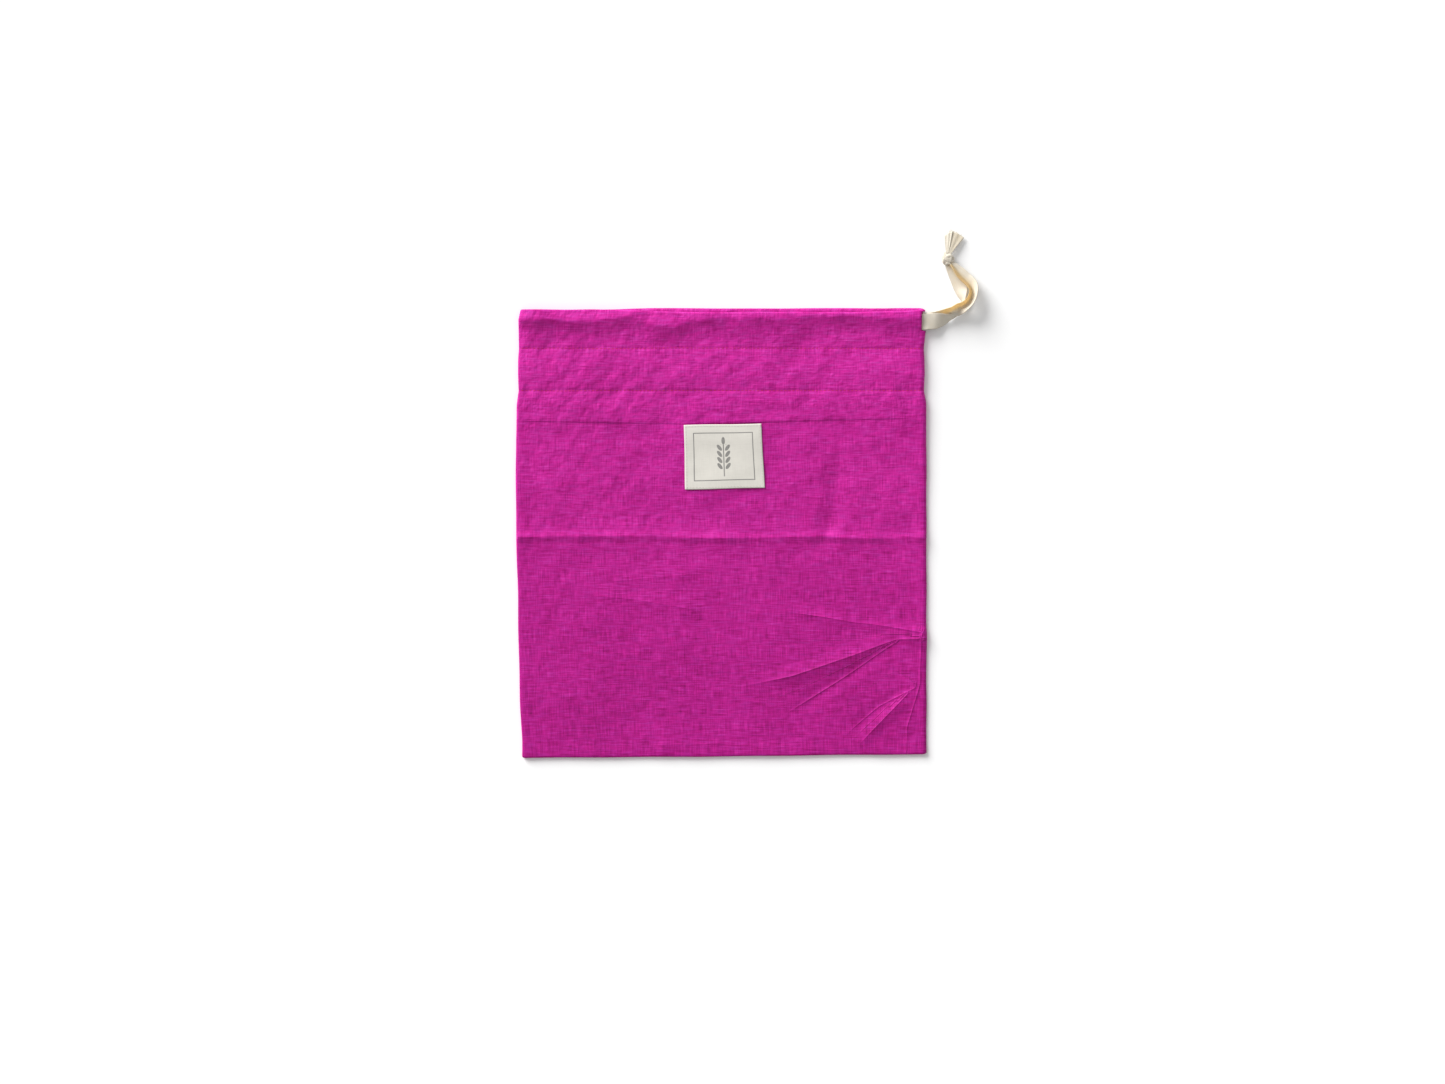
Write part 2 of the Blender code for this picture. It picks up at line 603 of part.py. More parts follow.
def build_tail(tail, collection):
    """One cut end of the tape past the knot, gathered at its root and opening in pleats."""
    u = np.linspace(0.0, 1.0, 4 * tail.pleats + 1)[None, :]
    v = np.linspace(0.0, 1.0, TAIL_ROWS)[:, None]
    root, left, right = (np.array(p, float) for p in (tail.root, tail.tip_left, tail.tip_right))
    side = (right - left) / np.linalg.norm(right - left)
    start = root + (u[..., None] - 0.5) * TAIL_ROOT_WIDTH * side
    end = left + (right - left) * u[..., None]
    opening = TAIL_EVEN * v + (1.0 - TAIL_EVEN) * v ** TAIL_FLARE
    plan = start + (end - start) * opening[..., None]
    plan = plan + (np.sin(math.pi * u) * v * TAIL_CROWN)[..., None] * np.array([0.2, 0.9])
    pleats = np.cos(2 * math.pi * tail.pleats * u)
    z = TAIL_ROOT_Z + (TAIL_TIP_Z - TAIL_ROOT_Z) * v + PLEAT_RISE * pleats * smooth(PLEAT_GROWTH * v)
    return new_object(tail.name, grid_slab(np.dstack([plan, z]), TAPE_THICK), COTTON_TAPE, collection)


def clear_scene():
    """Removes whatever the file holds."""
    for obj in list(bpy.data.objects):
        bpy.data.objects.remove(obj, do_unlink=True)


def main():
    clear_scene()
    collection = bpy.data.collections.new(COLLECTION)
    bpy.context.scene.collection.children.link(collection)
    build_bag(collection)
    build_label(collection)
    build_casing_tape(collection)
    build_tape_end("tape_end_upper", UPPER_END, collection)
    build_tape_end("tape_end_lower", LOWER_END, collection)
    build_knot(collection)
    for tail in TAILS:
        build_tail(tail, collection)


main()
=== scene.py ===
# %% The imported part
import math
from collections import namedtuple

import bmesh
import bpy
import numpy as np
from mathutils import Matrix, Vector


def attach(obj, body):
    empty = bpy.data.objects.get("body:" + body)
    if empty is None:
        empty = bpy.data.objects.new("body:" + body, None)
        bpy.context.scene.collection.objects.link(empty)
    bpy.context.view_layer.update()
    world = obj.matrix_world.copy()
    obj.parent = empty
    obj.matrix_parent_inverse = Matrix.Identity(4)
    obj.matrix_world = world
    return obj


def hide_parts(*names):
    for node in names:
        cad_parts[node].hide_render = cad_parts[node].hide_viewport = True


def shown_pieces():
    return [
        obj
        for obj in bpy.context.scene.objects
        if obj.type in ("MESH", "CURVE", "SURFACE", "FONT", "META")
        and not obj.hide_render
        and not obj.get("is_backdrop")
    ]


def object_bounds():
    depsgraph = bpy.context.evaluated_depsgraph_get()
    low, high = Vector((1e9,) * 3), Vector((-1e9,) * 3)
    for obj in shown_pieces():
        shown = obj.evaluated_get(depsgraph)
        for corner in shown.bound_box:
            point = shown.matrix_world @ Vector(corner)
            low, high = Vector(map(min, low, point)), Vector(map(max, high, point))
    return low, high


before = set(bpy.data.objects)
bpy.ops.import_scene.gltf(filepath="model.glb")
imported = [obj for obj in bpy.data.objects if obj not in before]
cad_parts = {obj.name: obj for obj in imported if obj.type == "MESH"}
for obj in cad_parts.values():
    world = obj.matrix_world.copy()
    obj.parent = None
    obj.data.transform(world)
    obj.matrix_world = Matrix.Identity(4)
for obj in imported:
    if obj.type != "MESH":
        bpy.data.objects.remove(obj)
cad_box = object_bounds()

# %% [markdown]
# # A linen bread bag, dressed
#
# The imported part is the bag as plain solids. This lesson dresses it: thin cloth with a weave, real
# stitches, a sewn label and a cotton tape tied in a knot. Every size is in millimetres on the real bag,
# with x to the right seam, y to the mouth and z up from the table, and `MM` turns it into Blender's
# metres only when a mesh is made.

MM = 0.001
ROOT = "root"                # the part's one body

low, high = cad_box
print("solids, mm:", [round((b - a) / MM, 1) for a, b in zip(low, high)])

# %% [markdown]
# ## Camera
#
# The photograph looks straight down from a height at which the bag keeps its true proportions. A long
# lens far above the table does that. The place above the table and the width of the picture at the
# cloth are the photograph's, written as real sizes.

# %% Camera
CAMERA_X, CAMERA_Y = 0.7, -6.3
VIEW_WIDTH = 1069.3          # width of table that the picture takes in
LENS, SENSOR = 85.0, 36.0    # millimetres, as on a real camera

camera_data = bpy.data.cameras.new("camera")
camera_data.lens, camera_data.sensor_width = LENS, SENSOR
camera = bpy.data.objects.new("camera", camera_data)
camera_height = VIEW_WIDTH * LENS / SENSOR
camera.location = (CAMERA_X * MM, CAMERA_Y * MM, camera_height * MM)
bpy.context.scene.collection.objects.link(camera)
bpy.context.scene.camera = camera
print("camera above the table, mm:", round(camera_height))

# %% [markdown]
# ## Small mathematics for cloth
#
# Cloth has no straight lines, so three little functions return again and again. `ease` is a step
# without corners. `rumple` gives soft random hills of one size. `from_line` measures how far each point
# is from a crease drawn in plan, and how far along the crease it lies, which is all that is needed to
# fold a ridge or a trough along it.

# %% Cloth mathematics
def ease(value, start=0.0, end=1.0):
    """0 before start, 1 after end, and between them 3t^2 - 2t^3 of the way t."""
    t = np.clip((value - start) / (end - start), 0.0, 1.0)
    return t * t * (3.0 - 2.0 * t)


LATTICE = 160                # random heights in each direction


def rumple(x, y, pitch_x, pitch_y, seed):
    """Random heights from -1 to 1 on a lattice of that pitch, joined by eased steps in both directions."""
    heights = np.random.default_rng(seed).uniform(-1.0, 1.0, (LATTICE, LATTICE))
    u, v = x / pitch_x + LATTICE / 2, y / pitch_y + LATTICE / 2
    i = np.clip(np.floor(u).astype(int), 0, LATTICE - 2)
    j = np.clip(np.floor(v).astype(int), 0, LATTICE - 2)
    s, t = ease(u - i), ease(v - j)
    near = heights[i, j] * (1 - s) + heights[i + 1, j] * s
    far = heights[i, j + 1] * (1 - s) + heights[i + 1, j + 1] * s
    return near * (1 - t) + far * t


def from_line(x, y, line):
    """Signed distance in plan to a line of straight runs, positive on its left, and the share of the line's
    length at the nearest point."""
    points = np.array(line, float)
    runs = np.linalg.norm(np.diff(points, axis=0), axis=1)
    starts = np.concatenate([[0.0], np.cumsum(runs)[:-1]])
    best = np.full(np.broadcast(x, y).shape, np.inf)
    share = np.zeros(best.shape)
    for (x0, y0), (x1, y1), start, run in zip(points[:-1], points[1:], starts, runs):
        t = np.clip(((x - x0) * (x1 - x0) + (y - y0) * (y1 - y0)) / run ** 2, 0.0, 1.0)
        side = np.where((x1 - x0) * (y - y0) < (y1 - y0) * (x - x0), -1.0, 1.0)
        distance = np.hypot(x - x0 - t * (x1 - x0), y - y0 - t * (y1 - y0))
        nearer = distance < np.abs(best)
        share = np.where(nearer, (start + t * run) / runs.sum(), share)
        best = np.where(nearer, side * distance, best)
    return best, share


def read(rows, name):
    """One named column of a table as an array."""
    return np.array([getattr(row, name) for row in rows], float)


# %% [markdown]
# ## From arrays to meshes
#
# Every piece below is an array of points and an array of faces. `make_piece` writes both into a mesh at
# once, adds the flat cloth coordinates that the weave follows, and lets the piece ride on the part's
# one body. A grid is the usual case: a surface over two parameters, whose faces are worked out from the
# grid's own indices.

# %% Mesh helpers
WEAVE_UNIT = 100.0           # one unit of cloth coordinates is this many millimetres of cloth


def make_piece(name, points, faces, flat, marks=None):
    """A mesh object from points in millimetres. flat holds the cloth coordinates of each face corner, also in
    millimetres, and marks gives named numbers at the points, such as how warm the light in the tape is."""
    mesh = bpy.data.meshes.new(name)
    mesh.from_pydata((np.asarray(points).reshape(-1, 3) * MM).tolist(), [], faces)
    layer = mesh.uv_layers.new(name="cloth")
    layer.data.foreach_set("uv", (np.asarray(flat, float).reshape(-1, 2) / WEAVE_UNIT).ravel())
    for mark, values in (marks or {}).items():
        attribute = mesh.attributes.new(mark, "FLOAT", "POINT")
        attribute.data.foreach_set("value", np.asarray(values, np.float32).ravel())
    mesh.shade_smooth()
    piece = bpy.data.objects.new(name, mesh)
    bpy.context.scene.collection.objects.link(piece)
    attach(piece, ROOT)
    return piece


def grid_faces(rows, columns, around=False):
    """Quads between neighbouring rows and columns; around also joins the last column to the first."""
    i = np.arange(rows - 1)[:, None]
    j = np.arange(columns if around else columns - 1)[None, :]
    k = (j + 1) % columns
    corners = [i * columns + j, i * columns + k, (i + 1) * columns + k, (i + 1) * columns + j]
    return np.stack([np.broadcast_to(c, (rows - 1, j.shape[1])) for c in corners], axis=-1).reshape(-1, 4)


def grid_piece(name, points, flat, thickness, marks=None, offset=1.0):
    """A piece of cloth from a grid of points (rows, columns, 3), each with its cloth coordinates in flat."""
    faces = grid_faces(*points.shape[:2])
    corner_flat = np.asarray(flat, float).reshape(-1, 2)[faces.ravel()]
    piece = make_piece(name, points, faces.tolist(), corner_flat, marks)
    thicken(piece, thickness, offset)
    return piece


def thicken(piece, thickness, offset):
    """Cloth of real thickness: offset 1 grows it outwards, 0 to both sides and -1 inwards."""
    solidify = piece.modifiers.new("thickness", "SOLIDIFY")
    solidify.thickness = thickness * MM
    solidify.offset = offset


def face_outwards(piece, merge=0.0):
    """Merges doubled points and turns every closed shell's faces to the outside."""
    shell = bmesh.new()
    shell.from_mesh(piece.data)
    bmesh.ops.remove_doubles(shell, verts=shell.verts, dist=merge * MM)
    bmesh.ops.recalc_face_normals(shell, faces=shell.faces)
    shell.to_mesh(piece.data)
    shell.free()
    piece.data.shade_smooth()


def tube_faces(count, rows, columns):
    """Faces of equal closed tubes that follow each other in one mesh: the sides, and a lid at both ends."""
    block = rows * columns
    one = grid_faces(rows, columns, around=True)
    sides = (one[None] + block * np.arange(count)[:, None, None]).reshape(-1, 4)
    lids = [[block * n + j for j in range(columns)][::-1] for n in range(count)]
    lids += [[block * (n + 1) - columns + j for j in range(columns)] for n in range(count)]
    return sides, lids


def tape_marks(glow, edge):
    """The two numbers that the tape's material reads: warm light, let through and painted into the colour,
    and nearness to the woven edge.
    """
    return {"glow": glow, "edge": edge}


# %% [markdown]
# ## The heights of the folded cloth
#
# The bag lies flat, so its front can be written as a height over the table. Below the hem it is one
# slack layer over the back. In the hem there are two more layers, and in the casing two runs of tape as
# well, so the front climbs there in a soft bank. The layers and levels are the solids' own, while the
# cloth between them is a little fuller. What the solids leave out is added here: sharper crests, drag
# lines, puckers beside the stitches and the general unevenness of washed linen.

# %% Layers and levels
LAYER = 1.3                  # one layer of cloth and the air under it
INSIDE = 1.4                 # from the back's flap up to the front's
BACK = 0.51
BACK_FLAP = BACK + LAYER
FRONT_FLAP = BACK_FLAP + INSIDE
FRONT_HEM = FRONT_FLAP + LAYER
TAPE_LIFT = 1.3              # what one run of tape adds to the height of the casing
CLOTH = 0.5                  # cloth as it shows, outside the middle of the solid's cloth

RIM_FRONT, RIM_BACK = 165.4, 166.1
RIM_START = 163.6            # where the fold over the mouth begins
SLOT_LOW = 149.8
STITCH_UPPER, STITCH_LOWER = 136.7, 105.5
FLAP_END = 88.0
HEM_STEP = 0.8               # run of the step under the hem's turned edge
BOTTOM = -166.1
CORNER = 2.5                 # rounding of the two bottom corners
HELD_AT, HELD_REACH = 150.0, 10.0    # the side folds hold the cloth, this far in
WAVE_REACH = 25.0            # the hem's waves fade over this distance

Level = namedtuple("Level", "x y")
BOTTOM_LINE = (Level(-152, -166.1), Level(-90, -165.6), Level(0, -165.0), Level(90, -163.8),
               Level(152, -163.4))
HEM_LINE = (Level(-152, 83.5), Level(-28, 81.5), Level(30, 82.7), Level(90, 84.5), Level(152, 85.8))
HEM_MIDDLE = 82.5            # the rows near this level are bent to follow the hem's edge
# The mouth's front edge sinks below the back's in the middle. Under it the front lies on the tape: the bank
# that it forms begins at the foot line and ends in a sharp edge at the crest line.
RIM_LINE = (Level(-152, 165.5), Level(-95, 165.4), Level(-60, 164.6), Level(-20, 163.6), Level(100, 163.4),
            Level(135, 164.4), Level(152, 165.3))
Bank = namedtuple("Bank", "x foot crest")
BANKS = (
    Bank(-152, 149.5, 157.4), Bank(-121, 148.1, 157.4), Bank(-106, 146.5, 156.6), Bank(-93, 144.4, 156.7),
    Bank(-84, 143.0, 157.2), Bank(-71, 141.9, 160.4), Bank(-64, 141.2, 159.2), Bank(-56, 140.7, 155.4),
    Bank(-42, 138.2, 152.6), Bank(-31, 139.5, 152.4), Bank(-22, 141.8, 156.2), Bank(-4, 143.2, 158.6),
    Bank(3, 141.0, 159.6), Bank(13, 138.2, 157.4), Bank(24, 138.6, 159.6), Bank(35, 139.0, 158.4),
    Bank(46, 138.6, 157.6), Bank(56, 139.2, 160.4), Bank(66, 144.3, 160.8), Bank(82, 147.6, 160.4),
    Bank(98, 148.0, 160.6), Bank(109, 147.6, 159.8), Bank(120, 147.0, 159.0), Bank(132, 146.0, 158.8),
    Bank(152, 143.5, 159.6),
)
BANK_RISE, BANK_CURVE = 2.0 * TAPE_LIFT + 1.1, 1.5

Slack = namedtuple("Slack", "y z")
SLACK = (Slack(-166, 2.3), Slack(-120, 2.4), Slack(-60, 2.6), Slack(-10, 2.9), Slack(20, 3.0), Slack(55, 3.5),
         Slack(72, 3.95), Slack(86, 4.35))

# Creases: rise and reach of the soft ridge (a trough is negative), rise of the fine line along it, and how
# much of the line's length it takes to grow from nothing
Crease = namedtuple("Crease", "name rise reach fine grow line")
MIDDLE_LINE = ((-170, -2.0), (-60, -2.6), (60, -2.9), (170, -3.4))
CREASES = (
    Crease("middle", 1.0, 13, 0, 0, MIDDLE_LINE),
    Crease("middle_lip", 0.85, 4.4, 0.12, 0, MIDDLE_LINE),
    Crease("fan_upper", 0.7, 7, 0.55, 0.3, ((38.9, -56.6), (95.0, -64.5), (148.4, -72.4))),
    Crease("fan_ridge", 1.15, 9, 0.6, 0.3, ((7.0, -115.1), (51.4, -105.5), (129.9, -77.9), (148.0, -77.0))),
    Crease("fan_trough", -0.95, 8, 0.6, 0.2,
           ((43.0, -136.2), (85.9, -109.2), (112.9, -90.7), (129.9, -79.5))),
    Crease("corner_trough", -0.8, 7, 0.5, 0.3, ((89.6, -150.9), (116.6, -127.7), (142.5, -113.6))),
    Crease("corner_ridge", 1.05, 7, 0.55, 0.3, ((99.5, -158.3), (116.6, -141.0), (141.0, -114.1))),
    Crease("left_upper", 0.5, 9, 0.16, 0.3, ((-89.2, -35.9), (-29.2, -31.5))),
    Crease("left_lower", 0.6, 8, 0.26, 0.3, ((-100.3, -45.5), (-67.0, -48.5), (-25.5, -55.9))),
    Crease("slack_trough", -1.6, 12, 0, 0.2, ((87.7, 66.0), (84.0, 24.8), (76.6, -4.8))),
    Crease("bottom_ridge", 0.2, 5, 0.16, 0.4, ((60.0, -157.0), (10.0, -155.8), (-45.0, -156.5))),
    Crease("seam_line", 0, 1, 0.5, 0.1,
           ((151.5, -66.0), (147.6, -75.0), (146.6, -111.0), (137.1, -143.5), (136.7, -160.7))),
)
FINE_REACH = 0.8             # a fine line fades over this distance on both sides


def from_crease(x, y, crease):
    """Signed distance to a crease that wanders a little, and how strong it is there: it has grown from
    nothing at its first end, and no crease is even along its length."""
    distance, share = from_line(x, y + 0.8 * rumple(x, y, 24, 24, 61), crease.line)
    grown = ease(share, 0.0, crease.grow) if crease.grow else np.ones(share.shape)
    return distance, grown * (0.9 + 0.4 * rumple(x, y, 26, 26, 67))


def level_at(rows, x):
    """Height in plan of a line across the bag."""
    return np.interp(x, read(rows, "x"), read(rows, "y"))


# %% [markdown]
# The small relief is the part that makes cloth look like cloth. It sums three habits of linen: broad
# slackness and finger-sized dents, which are hills of falling size, and slanting drag lines on the left
# half, where the cloth was pulled aslant. It fades at the side folds, where the cloth is held.

# %% Small relief
Hill = namedtuple("Hill", "rise pitch_x pitch_y seed")
SLACK_HILLS = (Hill(0.55, 21, 17, 3), Hill(0.30, 10.5, 9.0, 5), Hill(0.07, 5.0, 4.2, 7))
DRAG_HILLS = (Hill(1.0, 17, 5.2, 13), Hill(0.35, 11, 3.0, 15))
DRAG_ANGLE = math.radians(58.0)
SLACK_SHARE, DRAG_SHARE = 0.9, 0.19
PUCKER_RISE, PUCKER_REACH, VALLEY_DEPTH = 0.24, 9.0, 0.30


def hills(table, x, y):
    """Sum of random hills, each of its own rise and size."""
    return sum(hill.rise * rumple(x, y, hill.pitch_x, hill.pitch_y, hill.seed) for hill in table)


def aslant(x, y):
    """How far a place lies along the drag lines and across them: x and y turned by their angle."""
    along = x * math.cos(DRAG_ANGLE) + y * math.sin(DRAG_ANGLE)
    across = y * math.cos(DRAG_ANGLE) - x * math.sin(DRAG_ANGLE)
    return along, across


def roughness(y):
    """How rumpled the cloth is at level y: calm near the bottom, most uneven in the hem."""
    return 0.5 + 0.75 * ease(y, -45.0, 45.0) + 0.55 * ease(y, 70.0, 100.0)


def pull(x):
    """How strongly the cloth was pulled aslant: on the left half only."""
    return 1.0 - ease(x, -80.0, 20.0)


def small_relief(x, y):
    """Sum of soft hills of several sizes, in millimetres: rougher towards the hem, faded at the sides."""
    slack, drag = hills(SLACK_HILLS, x, y), hills(DRAG_HILLS, *aslant(x, y))
    z = roughness(y) * (SLACK_SHARE * slack + DRAG_SHARE * pull(x) * drag)
    return z * ease(HELD_AT - np.abs(x), 0.0, HELD_REACH)


def puckers(x, y, row, seed):
    """Short gathers on both sides of a row of stitches: narrow hills that die out away from the thread, and
    the shallow valley that the thread pulls the cloth into."""
    away = np.abs(y - row)
    gathers = rumple(x, y, 3.6, 26, seed) * (1.0 - ease(away, 1.0, PUCKER_REACH))
    return PUCKER_RISE * gathers - VALLEY_DEPTH * np.exp(-away ** 2)


HEM_PUFF, EDGE_PUFF = 0.55, 0.3      # between the rows of stitches, and below the lower row
CREST_SLIP = 0.9             # the bank's sharp edge wanders by this much
RIM_ROLL = 1.3               # past the bank the cloth rolls down to the mouth by this much


def hem_height(x, y):
    """Front of the hem: puffed between the rows of stitches and banked up over the tape in its casing."""
    side = ease(HELD_AT - np.abs(x), 0.0, WAVE_REACH)
    wave = side * (0.22 + 0.13 * np.sin(x / 17.0 + 0.6) + 0.08 * np.cos(x / 8.5 + y / 21.0))
    between = np.clip((y - STITCH_LOWER) / (STITCH_UPPER - STITCH_LOWER), 0.0, 1.0)
    below = np.clip((STITCH_LOWER - y) / (STITCH_LOWER - FLAP_END), 0.0, 1.0)
    puff = HEM_PUFF * np.sin(math.pi * between) ** 0.8 + EDGE_PUFF * np.sin(math.pi * below)
    slip = CREST_SLIP * rumple(x, 0 * x, 5, 5, 17)
    foot = np.interp(x, read(BANKS, "x"), read(BANKS, "foot"))
    crest = np.interp(x, read(BANKS, "x"), read(BANKS, "crest")) + slip
    bank = BANK_RISE * np.clip((y - foot) / (crest - foot), 0.0, 1.0) ** BANK_CURVE
    roll = RIM_ROLL * ease(y, crest, RIM_FRONT + 1.0)
    sewn = puckers(x, y, STITCH_UPPER, 19) + puckers(x, y, STITCH_LOWER, 23)
    return FRONT_HEM + bank - roll + puff + wave + sewn + small_relief(x, y)


def body_height(x, y):
    """Front below the hem: slack cloth, its creases, and a little fullness along the seams."""
    z = np.interp(y, read(SLACK, "y"), read(SLACK, "z"))
    z = z + 0.14 * np.sin(x / 31.0 + 0.7) * np.cos(y / 27.0) + 0.08 * np.sin(x / 13.0 + y / 19.0)
    z = z + 0.3 * ease(np.abs(x), 138.0, 152.0) + 0.25 * ease(-y, 152.0, 162.0)
    for crease in CREASES:
        distance, grown = from_crease(x, y, crease)
        z = z + grown * crease.rise * np.clip(1.0 - np.abs(distance) / crease.reach, 0.0, 1.0)
    return np.maximum(z + small_relief(x, y), BACK + 1.0)


def front_height(x, y):
    """Height of the front cloth anywhere, with the step under the hem's turned edge."""
    hem = ease(y - level_at(HEM_LINE, x), -HEM_STEP, 0.0)
    return body_height(x, y) * (1.0 - hem) + hem_height(x, y) * hem


sample_x, sample_y = np.meshgrid(np.linspace(-140, 140, 57), np.linspace(-150, 160, 63))
sample_z = front_height(sample_x, sample_y)
print("front cloth from", round(float(sample_z.min()), 2), "to", round(float(sample_z.max()), 2), "mm high")

# %% [markdown]
# ## The tape, its path and its folds
#
# The drawstring is one flat cotton tape 12 mm wide. Both of its ends leave the casing through the slot
# in the right seam, fold along their length like a gutter as they turn up, are tied together in one
# knot and end in two short tails. A tape is a ruled strip, so each end is a path with a table of
# cross-sections: where the middle of the section is in plan, how high its lowest point lies, how wide
# the tape still is there, how its two halves lean, and how much light comes through its inner half,
# which is also painted warm into its colour. A smooth curve through the rows gives every section between
# them.

# %% Tape sections
TAPE_WIDTH = 12.0
TAPE_THICK = 0.55
TAPE_ACROSS = 16             # steps across the tape
FOLD_SHARPNESS = 3.2

Section = namedtuple("Section", "x y low width inner outer glow")
UPPER_END = (
    Section(147.3, 156.5, 1.8, 12.0, 0, 0, 0),
    Section(149.8, 156.7, 1.7, 12.0, 4, 4, 0),
    Section(152.6, 157.4, 1.2, 12.0, 14, 14, 0),
    Section(156.2, 158.3, 0.8, 12.0, 28, 28, 0.1),
    Section(159.8, 159.4, 0.7, 12.0, 40, 38, 0.4),
    Section(163.6, 160.9, 0.8, 12.0, 50, 46, 0.8),
    Section(167.2, 162.3, 1.9, 11.5, 55, 46, 1),
    Section(170.6, 163.4, 3.6, 11.0, 60, 38, 1),
    Section(174.2, 164.8, 5.2, 11.0, 60, 4, 1),
    Section(178.4, 167.0, 6.2, 12.0, 62, -52, 1),
    Section(182.6, 170.6, 6.4, 12.0, 64, -62, 1),
    Section(185.0, 175.2, 6.0, 12.0, 65, -64, 1),
    Section(185.8, 180.2, 5.4, 12.0, 64, -60, 1),
    Section(184.4, 184.6, 4.6, 11.5, 60, -34, 1),
    Section(181.0, 188.3, 3.9, 11.0, 58, -12, 1),
    Section(177.4, 191.8, 3.6, 10.5, 56, -6, 1),
    Section(174.0, 195.6, 3.2, 8.5, 56, 2, 0.9),
    Section(170.4, 199.4, 2.8, 4.6, 50, 16, 0.8),
)
LOWER_END = (
    Section(147.3, 156.3, 5.0, 12.0, 8, 8, 0),
    Section(149.8, 156.3, 5.3, 12.0, 6, 6, 0),
    Section(152.6, 156.5, 5.7, 12.0, 2, 2, 0),
    Section(156.6, 156.8, 5.0, 12.0, 7, 7, 0),
    Section(160.2, 157.4, 3.4, 11.4, 22, 22, 0),
    Section(163.9, 158.3, 2.0, 10.5, 38, 38, 0),
    Section(167.6, 159.5, 0.9, 8.6, 54, 54, 0),
    Section(171.4, 160.9, 0.5, 6.6, 60, 60, 0),
    Section(175.2, 163.0, 0.5, 5.6, 72, 72, 0),
    Section(178.4, 167.4, 0.7, 4.2, 92, 92, 0),
    Section(178.6, 172.2, 0.7, 6.0, 115, 115, 0),
    Section(177.6, 177.0, 0.6, 9.0, 140, 140, 0),
    Section(176.6, 182.0, 0.5, 10.5, 160, 160, 0),
    Section(173.8, 188.0, 0.6, 9.5, 164, 164, 0.1),
    Section(170.6, 193.8, 1.0, 7.5, 166, 166, 0.35),
    Section(167.4, 199.4, 1.8, 4.6, 168, 168, 0.5),
)
KNOT = np.array([166.9, 203.4, 3.0])
KNOT_CORE = 5.0
# a tail's glow is warm light painted into its colour and let through it
Tail = namedtuple("Tail", "root tip_left tip_right pleats glow")
LEFT_TAIL = Tail((166.9, 207.6), (164.9, 220.0), (170.9, 223.4), 2, 0.0)
RIGHT_TAIL = Tail((168.4, 207.4), (169.4, 223.6), (179.2, 218.5), 2, 0.15)
TAIL_ROOT_WIDTH, TAIL_ROOT_Z, TAIL_TIP_Z = 2.6, 4.2, 1.9
TAIL_PLEAT = 0.14
TAIL_EVEN, TAIL_POWER = 0.35, 1.4    # share of a tail that fans out evenly; the rest opens by this power
TAIL_BOW = np.array([0.2, 0.9])      # the middle of a cut end reaches past its corners
LEFT_LIFT = 0.5                      # the left tail's outer edge lies a little higher


def smooth_rows(table, samples):
    """Even steps along a smooth curve through the rows of a table. Each row is joined to the next by the
    cubic whose slope at a row is half the step between that row's two neighbours."""
    rows = np.array(table, float)
    padded = np.vstack([2 * rows[0] - rows[1], rows, 2 * rows[-1] - rows[-2]])
    place = np.linspace(0.0, len(rows) - 1.0, samples)
    i = np.minimum(place.astype(int), len(rows) - 2)
    t = (place - i)[:, None]
    a, b, c, d = (padded[i + k] for k in range(4))
    square, cube = 2 * a - 5 * b + 4 * c - d, 3 * b - a - 3 * c + d
    return 0.5 * (2 * b + (c - a) * t + square * t ** 2 + cube * t ** 3)


def strand_grid(table, samples):
    """Points of one tape end and their glow. A section is walked from its outer edge to its inner one: each
    small step leans by an angle that turns from the outer half's to the inner half's around the middle."""
    x, y, lowest, width, inner, outer, glow = smooth_rows(table, samples).T
    heading = np.arctan2(np.gradient(y), np.gradient(x))
    inward = np.column_stack([-np.sin(heading), np.cos(heading)])
    place = (np.arange(TAPE_ACROSS) + 0.5) / TAPE_ACROSS
    share = ease(0.5 + FOLD_SHARPNESS * (place - 0.5))
    lean = np.radians(outer[:, None] * (1 - share) + inner[:, None] * share)
    step = (width / TAPE_ACROSS)[:, None]
    sideways = np.hstack([np.zeros((samples, 1)), np.cumsum(np.cos(lean) * step, axis=1)])
    height = np.hstack([np.zeros((samples, 1)), np.cumsum(np.sin(lean) * step, axis=1)])
    sideways -= (sideways.min(axis=1) + sideways.max(axis=1))[:, None] / 2
    height += (lowest - height.min(axis=1))[:, None]
    plan = np.column_stack([x, y])[:, None, :] + sideways[..., None] * inward[:, None, :]
    across = np.arange(TAPE_ACROSS + 1) / TAPE_ACROSS
    return np.dstack([plan, height]), np.clip(glow, 0, 1)[:, None] * ease(across, 0.25, 0.75)


def tail_grid(tail, samples):
    """Points of one tail: straight lines fan out from the gathered root to the cut end, lifted in pleats
    whose height is a cosine across the tail."""
    u = np.linspace(0.0, 1.0, TAPE_ACROSS + 1)[None, :]
    v = np.linspace(0.0, 1.0, samples)[:, None]
    root, left, right = (np.array(p, float) for p in (tail.root, tail.tip_left, tail.tip_right))
    side = (right - left) / np.linalg.norm(right - left)
    start = root + (u[..., None] - 0.5) * TAIL_ROOT_WIDTH * side
    end = left + (right - left) * u[..., None]
    opened = v * TAIL_EVEN + v ** TAIL_POWER * (1 - TAIL_EVEN)
    plan = start + (end - start) * opened[..., None]
    plan = plan + (np.sin(math.pi * u) * v * 0.9)[..., None] * TAIL_BOW
    pleats = TAIL_PLEAT * np.cos(2 * math.pi * tail.pleats * u + 0.5) * ease(1.6 * v)
    over = LEFT_LIFT * (u if tail is LEFT_TAIL else 0 * u) * ease(v)
    z = TAIL_ROOT_Z + (TAIL_TIP_Z - TAIL_ROOT_Z) * v + pleats + over
    return np.dstack([plan, z])


# %% [markdown]
# Between the strand and its tail the tape is bunched up inside the knot, where nobody sees it. It still
# has to be there, because one end of the tape is one piece of cord with one length: the strand, the
# bunched stretch and the tail are rows of the same grid.

# %% Tape ends as cords
STRAND_SAMPLES, BUNCH_SAMPLES, TAIL_SAMPLES = 90, 12, 22
BUNCH_WIDTH = 2.6


